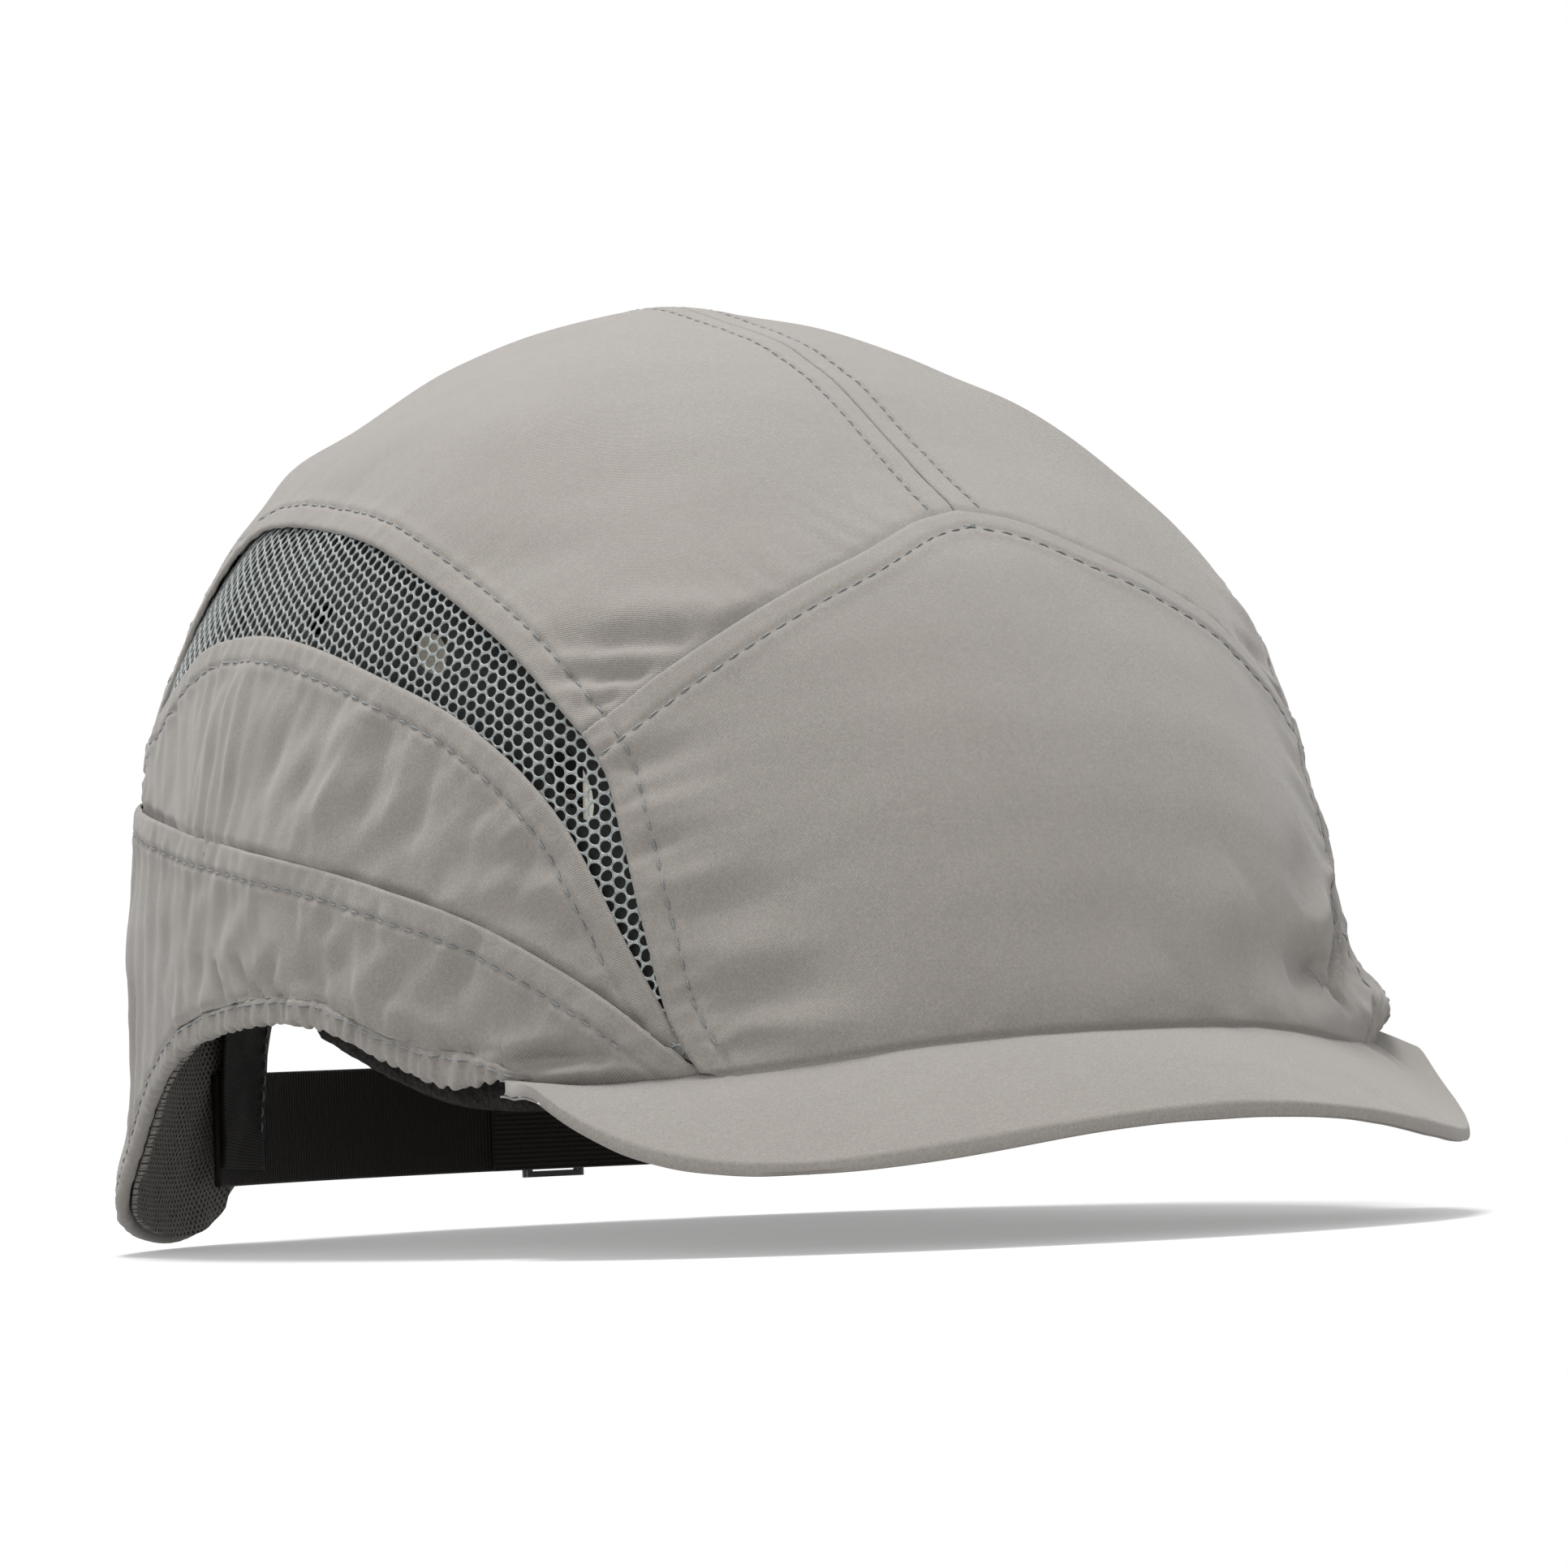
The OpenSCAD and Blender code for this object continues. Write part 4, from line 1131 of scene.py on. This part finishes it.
# ---------------------------------------------------------------- inside the cap
SHELL_STEP = 7.5  # degrees from column to column of the shell
SHELL_OUT, SHELL_IN = 2.1, 4.1  # depths of its two faces below the cloth


def shell_layer(depth, rows=10):
    a = np.arange(0, 360, SHELL_STEP)
    start = curve(SHELL_EDGE, np.where(a <= 180, a, 360 - a))
    return np.array([surface(a, start + (CROWN - start) * math.sin(math.radians(90 * i / rows)),
                             depth, stiff=True) for i in range(rows)])


def shell():
    """Hard shell with a row of square vents on each side, behind the nets."""
    outer, inner = shell_layer(SHELL_OUT), shell_layer(SHELL_IN)
    rows, cols = outer.shape[:2]
    n = rows * cols
    tips = np.array([[0, WIDEST_Y, CROWN - SHELL_OUT], [0, WIDEST_Y, CROWN - SHELL_IN]])
    points = np.concatenate([outer.reshape(-1, 3), inner.reshape(-1, 3), tips])
    faces, extra = [], []
    for i in range(rows):
        for j in range(cols):
            k = (j + 1) % cols
            a, b = i * cols + j, i * cols + k
            if i == rows - 1:
                faces += [[a, b, 2 * n], [b + n, a + n, 2 * n + 1]]
                continue
            ring = [a, b, b + cols, a + cols]
            angle = (j + 0.5) * SHELL_STEP
            angle = angle if angle <= 180 else 360 - angle
            if i == 1 and 45 < angle < 105 and int(angle // SHELL_STEP) % 2 == 0:
                small = [2 * n + 2 + len(extra) + m for m in range(8)]
                for layer in (0, n):
                    corners = points[[c + layer for c in ring]]
                    extra += (corners + (corners.mean(0) - corners) * 0.45).tolist()
                for m in range(4):
                    o = (m + 1) % 4
                    faces += [[ring[m], ring[o], small[o], small[m]],
                              [ring[o] + n, ring[m] + n, small[4 + m], small[4 + o]],
                              [small[m], small[o], small[4 + o], small[4 + m]]]
                continue
            faces += [ring, [c + n for c in ring[::-1]]]
            if i == 0:
                faces.append([b, a, a + n, b + n])
    obj = new_mesh("hard_shell", np.concatenate([points, extra]), faces)
    modifier(obj, "SUBSURF", levels=2, render_levels=2)
    finish_piece(obj, shell_plastic, ["shell"])


PAD_OUT, PAD_IN = 5.2, 10.1  # depths of a pad's two faces below the cloth
BAND_OUT, BAND_IN, BAND_HIGH = 5.3, 7.1, 22  # depths of the sweatband's faces, and its top edge


def pad(node, start, end, low, high, columns, rows):
    """Foam pad inside the shell: a curved block with rounded edges."""
    a = np.linspace(start, end, columns)
    bottom = np.maximum(low, curve(SHELL_EDGE, np.where(a <= 180, abs(a), 360 - a)) + 2)
    z = bottom[:, None] + (high - bottom)[:, None] * np.linspace(0, 1, rows)[None]
    a = np.broadcast_to(a[:, None], z.shape)
    obj = solid(f"{node}_pad", *(surface(a, z, depth, stiff=True) for depth in (PAD_OUT, PAD_IN)))
    modifier(obj, "BEVEL", width=0.0016, segments=3, angle_limit=math.radians(50))
    modifier(obj, "SUBSURF", levels=1, render_levels=1)
    finish_piece(obj, foam, [node])


def top_pad():
    """Round foam pad at the top: rings out along its upper face and back along its lower one."""
    a = np.arange(0, 360, 10.0)
    shares = (0.08, 0.2, 0.32, 0.42, 0.485)
    rings = ([(5.1, g) for g in shares] + [(6.2, 0.5), (8.8, 0.5)]
             + [(9.9, g) for g in reversed(shares)])
    points = np.concatenate([surface(a, height_at(a, g), depth, np.full(a.shape, g), True)
                             for depth, g in rings])
    rows, n = len(rings), len(a)
    around = np.arange(n)
    faces = [[p + j, p + n + j, p + n + (j + 1) % n, p + (j + 1) % n]
             for p in range(0, n * (rows - 1), n) for j in range(n)]
    faces += [around.tolist(), (n * (rows - 1) + around[::-1]).tolist()]
    obj = new_mesh("foam_top_pad", points, faces)
    modifier(obj, "SUBSURF", levels=2, render_levels=2)
    finish_piece(obj, foam, ["foam_top"])


def sweatband():
    """Towelling band across the forehead, thin at its edges, with a looped surface."""
    a = np.linspace(-76, 76, 260)
    low = curve(SWEATBAND_EDGE, abs(a))[:, None]
    rows = np.linspace(0, 1, 34)
    z = low + (BAND_HIGH - low) * rows
    a = np.broadcast_to(a[:, None], z.shape)
    outer, inner = (surface(a, z, depth, stiff=True) for depth in (BAND_OUT, BAND_IN))
    edge = np.minimum(rows, 1 - rows) * (BAND_HIGH - low)
    thin = 0.8 * (1 - np.sqrt(1 - np.clip(1 - edge / 1.2, 0, 1) ** 2))
    fuzz = 0.16 * lumps(outer, 1.5, 601) + 0.1 * lumps(outer, 0.9, 602)
    way = unit(outer - inner)
    obj = solid("sweatband_towelling",
                outer - way * (thin + np.clip(fuzz, -0.2, 0.2))[..., None],
                inner + way * (thin + 0.2 * lumps(inner, 1.6, 603))[..., None], cloth_of(outer))
    finish_piece(obj, towelling, ["sweatband"])


def seam_tape():
    """Tape over the inside of the crown's centre seam."""
    y = np.concatenate([-np.linspace(float(shrink(0, 79.0)), 0.0, 90)[:-1],
                        np.linspace(0.0, float(shrink(180, 60.0)), 90)])
    a = np.where(y <= 0, 0.0, 180.0)
    line = surface(a, height_at(a, abs(y)), 1.3, abs(y))
    x = np.linspace(-3, 3, 9)
    outer = line[:, None] + np.stack([x, 0 * x, -0.02 * x**2], -1)
    obj = solid("centre_seam_tape_strip", outer, outer - normals(outer) * 0.3)
    finish_piece(obj, webbing, ["centre_seam_tape"])


def lining(side_name):
    """Padded knit inside the rear band, and the facing that covers its edge in the arch."""
    side = SIDES[side_name]
    low = np.linspace(80, 149, 90)
    t = np.linspace(0, 90, 50)[1:]
    arch = arch_edge(t, BINDING_W)
    bottom = np.concatenate([np.stack([low, curve(HEM_EDGE, low) + 1.0], -1), arch])
    bottom[:, 0] = np.minimum(bottom[:, 0], 179.6)
    top_a = np.concatenate([low, ARCH_FOOT + 27.6 * t / 90])
    top = np.stack([top_a, curve(BAND_TOP, top_a) - 1], -1)
    rows = np.linspace(0, 1, 40)
    q = bottom[:, None] + (top - bottom)[:, None] * rows[None, :, None]
    near = 1 - smooth(rows * 40, 0, 7)
    depth = 1.25 + 1.15 * near * smooth(ARCH_FOOT - bottom[:, 0], -2, 2)[:, None]
    outer = surface(q[..., 0] * side, q[..., 1], depth)
    puff = 0.25 * lumps(outer, 16, 701 + side) + 0.12 * lumps(outer, 6, 702 + side)
    inner = surface(q[..., 0] * side, q[..., 1], depth + 1.0 + np.clip(puff, -0.3, 0.5))
    obj = solid(f"lining_{side_name}_knit", outer, inner)
    finish_piece(obj, knit, [f"lining_{side_name}"])
    # black facing inside the arch, over the lining's edge and the end of the strap
    v = np.linspace(0.6, 14.6, 20)
    q = arch_edge(np.broadcast_to(np.linspace(1, 89, 120)[:, None], (120, 20)), v)
    a, z = q[..., 0] * side, q[..., 1]
    roll = 1.6 * (1 - np.sqrt(np.maximum(1 - np.clip(1 - v / 2.5, 0, 1) ** 2, 0)))
    puff = np.clip(0.15 * lumps(surface(a, z), 9, 711 + side), -0.1, 0.3)
    deep = 4.35 - roll + puff + swell(a, z)
    outer = surface(a, z, deep)
    tape = solid(f"arch_facing_{side_name}_tape", outer, surface(a, z, deep + 0.6))
    finish_piece(tape, facing, [])


# ---------------------------------------------------------------- strap at the back
# The strap lies on a circle round the head: where its centre is, its inner face and its
# thickness. The buckle's two bars lie further out, at two angles, and the webbing turns round
# them at LOOP_R.
STRAP_Y, STRAP_R, STRAP_T = 20.0, 80.3, 1.1
BAR_R, BAR_A, ANCHOR_A = 82.9, 10.2, 16.3
LOOP_R = 0.9 + 0.6 + STRAP_T / 2


def strap_point(a, r):
    """Point of the strap's circle; angles from the middle of the back to the wearer's left."""
    a = np.radians(a)
    return np.stack([r * np.sin(a), STRAP_Y + r * np.cos(a)], -1)


def strap_piece(name, path, material, nodes, body="cap", width=18.0, top=0.0, t=STRAP_T,
                wave=0.0):
    """Flat strap along a path seen from above, with rounded selvedges."""
    path = np.asarray(path)
    s = lengths(path)
    n = max(int(s[-1] / 0.7), 8)
    fine = np.linspace(0, s[-1], n)
    path = np.stack([np.interp(fine, s, path[:, k]) for k in range(2)], -1)
    tangent = unit(np.gradient(path, axis=0))
    normal = np.stack([tangent[:, 1], -tangent[:, 0]], -1)
    loop = rounded_loop(width, t, t * 0.42, 3)
    extra = []
    for k in range(len(loop)):
        a, b = loop[k], loop[(k + 1) % len(loop)]
        extra.append(a)
        if np.linalg.norm(b - a) > 3:
            extra += [a + (b - a) * f for f in np.linspace(0, 1, 26)[1:-1]]
    loop = np.array(extra)
    v, w = loop[:, 0], loop[:, 1] - t / 2
    ripple = wave * waves(fine, fine * 0, 801, 5, 12)[:, None] * np.sin(np.pi * v / width)[None]
    xy = path[:, None] + normal[:, None] * (w[None] + ripple)[..., None]
    z = np.broadcast_to(top - v, xy.shape[:2])
    obj = tube(name, np.concatenate([xy, z[..., None]], -1), fine, v)
    finish_piece(obj, material, nodes, body)


def bar_turn(a, start, end):
    """Half turn of webbing round the bar at angle a."""
    bar = strap_point(a, BAR_R)
    out = unit(strap_point(a, 1) - strap_point(a, 0))
    across = np.array([out[1], -out[0]])
    f = np.radians(np.linspace(start, end, 24))
    return bar + LOOP_R * (-out[None] * np.cos(f)[:, None] + across[None] * np.sin(f)[:, None])


def strap():
    """The elastic with its tab, the anchor webbing, and the patches of hook and loop."""
    mid = STRAP_R + STRAP_T / 2
    leaf = strap_point(np.linspace(-39, BAR_A, 160), mid)
    strap_piece("strap_elastic_leaf", leaf, elastic, ["strap_elastic"], wave=0.06)
    strap_piece("strap_elastic_turn", bar_turn(BAR_A, 0, -180), elastic,
                ["strap_elastic"], None)
    bar, out = strap_point(BAR_A, BAR_R), strap_point(BAR_A, 1.0) - strap_point(BAR_A, 0.0)
    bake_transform(pieces["strap_elastic_turn"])
    anchor = np.concatenate([
        strap_point(np.linspace(39, ANCHOR_A, 90), mid),
        bar_turn(ANCHOR_A, 0, 180)[1:],
        strap_point(np.linspace(ANCHOR_A, ANCHOR_A + 6, 24), BAR_R + LOOP_R)[1:]])
    strap_piece("anchor_webbing_strap", anchor, webbing, ["anchor_webbing"])
    strap_piece("buckle_backing_strip", strap_point(np.linspace(5.3, 24.2, 60), 79.6), webbing,
                ["buckle_backing"], t=0.8)
    lean = math.radians(4)
    spin = np.array([[math.cos(lean), -math.sin(lean)], [math.sin(lean), math.cos(lean)]])

    def leant(points):
        return (points - bar) @ spin.T + bar

    outer = BAR_R + LOOP_R
    tab = leant(strap_point(np.linspace(BAR_A, -6.4, 60), outer))
    tab[0] = bar_turn(BAR_A, 0, -180)[-1]
    strap_piece("strap_tab_leaf", tab, elastic, ["strap_tab"], "tab")
    patch = np.linspace(2.6, -5.8, 24)
    for name, path, material, body in (
            ("hook_patch", leant(strap_point(patch, outer - STRAP_T / 2 - 0.25)), hooks, "tab"),
            ("loop_patch", strap_point(patch, STRAP_R + STRAP_T + 0.25), loops, "cap")):
        strap_piece(f"{name}_tape", path, material, [name], body, 15, -1.5, 0.5)


# ---------------------------------------------------------------- topstitching
THREAD_D, STITCH = 0.34, 2.05  # thickness of the thread, and length of a stitch


def stitch_rows(name, rows):
    """Rows of stitches, each a short arched thread that dips into the cloth at both ends. A row
    is a list of the cloths that it may lie on, a line, and 1 outside the cap or -1 inside."""
    points, faces, cloth = [], [], []
    ring = np.radians(np.arange(6) * 60)
    t = np.linspace(-1, 1, 6)
    radius = THREAD_D / 2 * np.array([0.55, 0.95, 1, 1, 0.95, 0.55])
    for trees, line, side in rows:
        s = lengths(line)
        count = int(s[-1] / PITCH)
        for k in range(count):
            spots = (k + 0.5) * (s[-1] / count) + t * STITCH / 2
            path = np.stack([np.interp(spots, s, line[:, c]) for c in range(3)], -1)
            snapped, way = [], []
            for p in path:
                inward = -side * unit(p - CENTRE)
                hits = [tree.ray_cast((p - 8 * inward) / 1000, inward, 0.012) for tree in trees]
                hits = [hit for hit in hits if hit[0] is not None]
                if hits:
                    best = min(hits, key=lambda hit: hit[3])
                    snapped.append(np.array(best[0]) * 1000)
                    way.append(np.array(best[1]))
            if len(snapped) < len(path):
                continue
            snapped, way = np.array(snapped), unit(np.mean(way, 0))
            if np.dot(way, path[0] - CENTRE) * side < 0:
                way = -way
            arch = 0.16 * (1 - t**2) - 0.14 * t**4
            core = snapped + way * arch[:, None]
            tangent = unit(core[-1] - core[0])
            sideways = unit(np.cross(tangent, way))
            base = len(points)
            for c, r in zip(core, radius):
                points.extend((c + r * (np.cos(ring)[:, None] * sideways
                                        + np.sin(ring)[:, None] * way)).tolist())
            cloth.extend([[spots[i], j * 0.2] for i in range(6) for j in range(6)])
            faces += quads(6, 6, base, ring=True).tolist()
            faces += [list(range(base + 5, base - 1, -1)), list(range(base + 30, base + 36))]
    obj = new_mesh(name, points, faces, cloth)
    finish_piece(obj, thread, [])


def beside(line, towards):
    """The line moved to its row of topstitching, on the side where the point towards lies."""
    tangent = unit(np.gradient(line, axis=0))
    way = unit(line - CENTRE)
    across = unit(np.cross(tangent, way))
    side = np.sign(np.mean(np.sum(across * (towards - line), -1)))
    return line + side * ROW * across


def tree_of(obj):
    """The piece's faces, for rays to meet."""
    mesh = obj.data
    return BVHTree.FromPolygons([tuple(v.co) for v in mesh.vertices],
                                [tuple(p.vertices) for p in mesh.polygons])


for name in SIDES:
    crown_panel(name)
    side_panel(name)
    rear_band(name)
    ear_hem(name)
    vent_net(name)
    lining(name)
front_panel()
arch_binding()
peak()
shell()
for node, *size in (("foam_front", -48.5, 48.5, 26, 64, 32, 10),
                    ("foam_rear", 150, 210, 58, 84, 18, 8),
                    ("foam_side_left", 64, 112, 84, 98, 14, 5),
                    ("foam_side_right", 248, 296, 84, 98, 14, 5)):
    pad(node, *size)
top_pad()
sweatband()
seam_tape()
strap()

trees = {name: tree_of(obj) for name, obj in pieces.items() if name.endswith(("_cloth", "_tape"))}
front = trees["front_panel_cloth"]
rows = [([front], beside(FRONT_LINE, surface(0, 50)), 1)]
for name, side in SIDES.items():
    crown, panel = trees[f"crown_panel_{name}_cloth"], trees[f"side_panel_{name}_cloth"]
    band, hem = trees[f"rear_band_{name}_cloth"], trees[f"ear_hem_{name}_cloth"]
    a = np.linspace(PEAK_CORNER - 1.4, 149, 600)
    q = arch_edge(np.linspace(4, 86, 200), 2.2)
    rows += [
        ([crown], beside(CENTRE_SEAM, np.array([60.0 * side, 10, 90])), 1),
        ([crown], beside(seam(MESH_UPPER, VENT_TOP, VENT_REAR, side), surface(80 * side, 100)), 1),
        ([panel], beside(seam(MESH_LOWER, 43.5, VENT_REAR, side), surface(80 * side, 20)), 1),
        ([panel], beside(seam(REAR_SEAM, VENT_REAR, 179, side), surface(150 * side, 20)), 1),
        ([front], beside(seam(MESH_FRONT, 38.6, 46.5, side), surface(0, 30)), 1),
        ([band], beside(seam(BAND_TOP, 43, 179.5, side), surface(80 * side, -30)), 1),
        ([hem, band], surface(a * side, hem_top(a) - 0.7), 1),
        ([trees[f"arch_facing_{name}_tape"]], surface(q[:, 0] * side, q[:, 1], 4.0), -1),
    ]
stitch_rows("topstitching", rows)


def loose_threads():
    """Thread ends that stand off the gathered corner of the front panel: start, end, stand."""
    ring = np.radians(np.arange(5) * 72)[:, None]
    ends = [((37, 19), (34.5, 16), 0.6), ((38, 16.5), (35, 14.5), 0.5),
            ((25.5, 8), (28.5, 5.2), 0.6), ((36.5, 13), (33.5, 11.5), 0.5)]
    f = np.linspace(0, 1, 14)
    for k, (start, end, stand) in enumerate(ends):
        a, z = (start[i] + (end[i] - start[i]) * f for i in (0, 1))
        core = surface(a, z + 0.5 * np.sin(np.pi * f * 1.7 + k), -0.3 - stand * np.sin(np.pi * f))
        way = unit(np.gradient(core, axis=0))
        side = unit(np.cross(way, [0.3, 0.2, 1]))
        rings = core[:, None] + 0.09 * (np.cos(ring) * side[:, None]
                                        + np.sin(ring) * np.cross(way, side)[:, None])
        obj = tube(f"loose_thread_{k}", rings, lengths(core), np.zeros(5))
        finish_piece(obj, thread, [])


loose_threads()

# CAD nodes that show as they are
for node, material in (("brim_board", board_plastic), ("slot_buckle", buckle_plastic)):
    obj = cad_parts[node]
    obj.data.materials.clear()
    obj.data.materials.append(material)


# ---------------------------------------------------------------- floor, light
FLOOR_Z, FLOOR_R = -27.4, 460.0
FLOOR_GLOW = 0.28


def floor():
    a = np.arange(96) * 2 * np.pi / 96
    points = np.stack([FLOOR_R * np.cos(a), FLOOR_R * np.sin(a), np.full(96, FLOOR_Z)], -1)
    obj = new_mesh("floor", points, [list(range(96))], shade=False)
    g = Graph("pale_floor", 0.9, 0.1, Emission_Color=grey(1.0), Emission_Strength=FLOOR_GLOW)
    paper = g.noise(g.place(), 40.0, 3.0)
    g.set("Base Color", g.mix(g.span(paper, 0.3, 0.7, 0, 1), grey(0.40), grey(0.42)))
    obj.data.materials.append(g.material)


def area_light(name, place, target, size, power):
    """Round light at a place, pointed at a target, in metres and watts."""
    data = bpy.data.lights.new(name, "AREA")
    data.shape, data.size, data.energy = "DISK", size, power
    z = unit(np.array(place) - target)
    x = unit(np.cross([0, 0.01, 1], z))
    put(bpy.data.objects.new(name, data), np.stack([x, np.cross(z, x), z], 1), place)


floor()
area_light("key", (-0.15, 0.02, 1.45), (0, 0, 0.05), 0.6, 29)
area_light("fill", (-1.05, -1.1, 0.3), (0, 0, 0.03), 0.9, 11)
world = bpy.data.worlds.new("studio")
world.use_nodes = True
background = world.node_tree.nodes["Background"]
background.inputs["Color"].default_value = (1, 1, 1, 1)
background.inputs["Strength"].default_value = 1.0
bpy.context.scene.world = world
bpy.context.scene.view_settings.view_transform = "Standard"
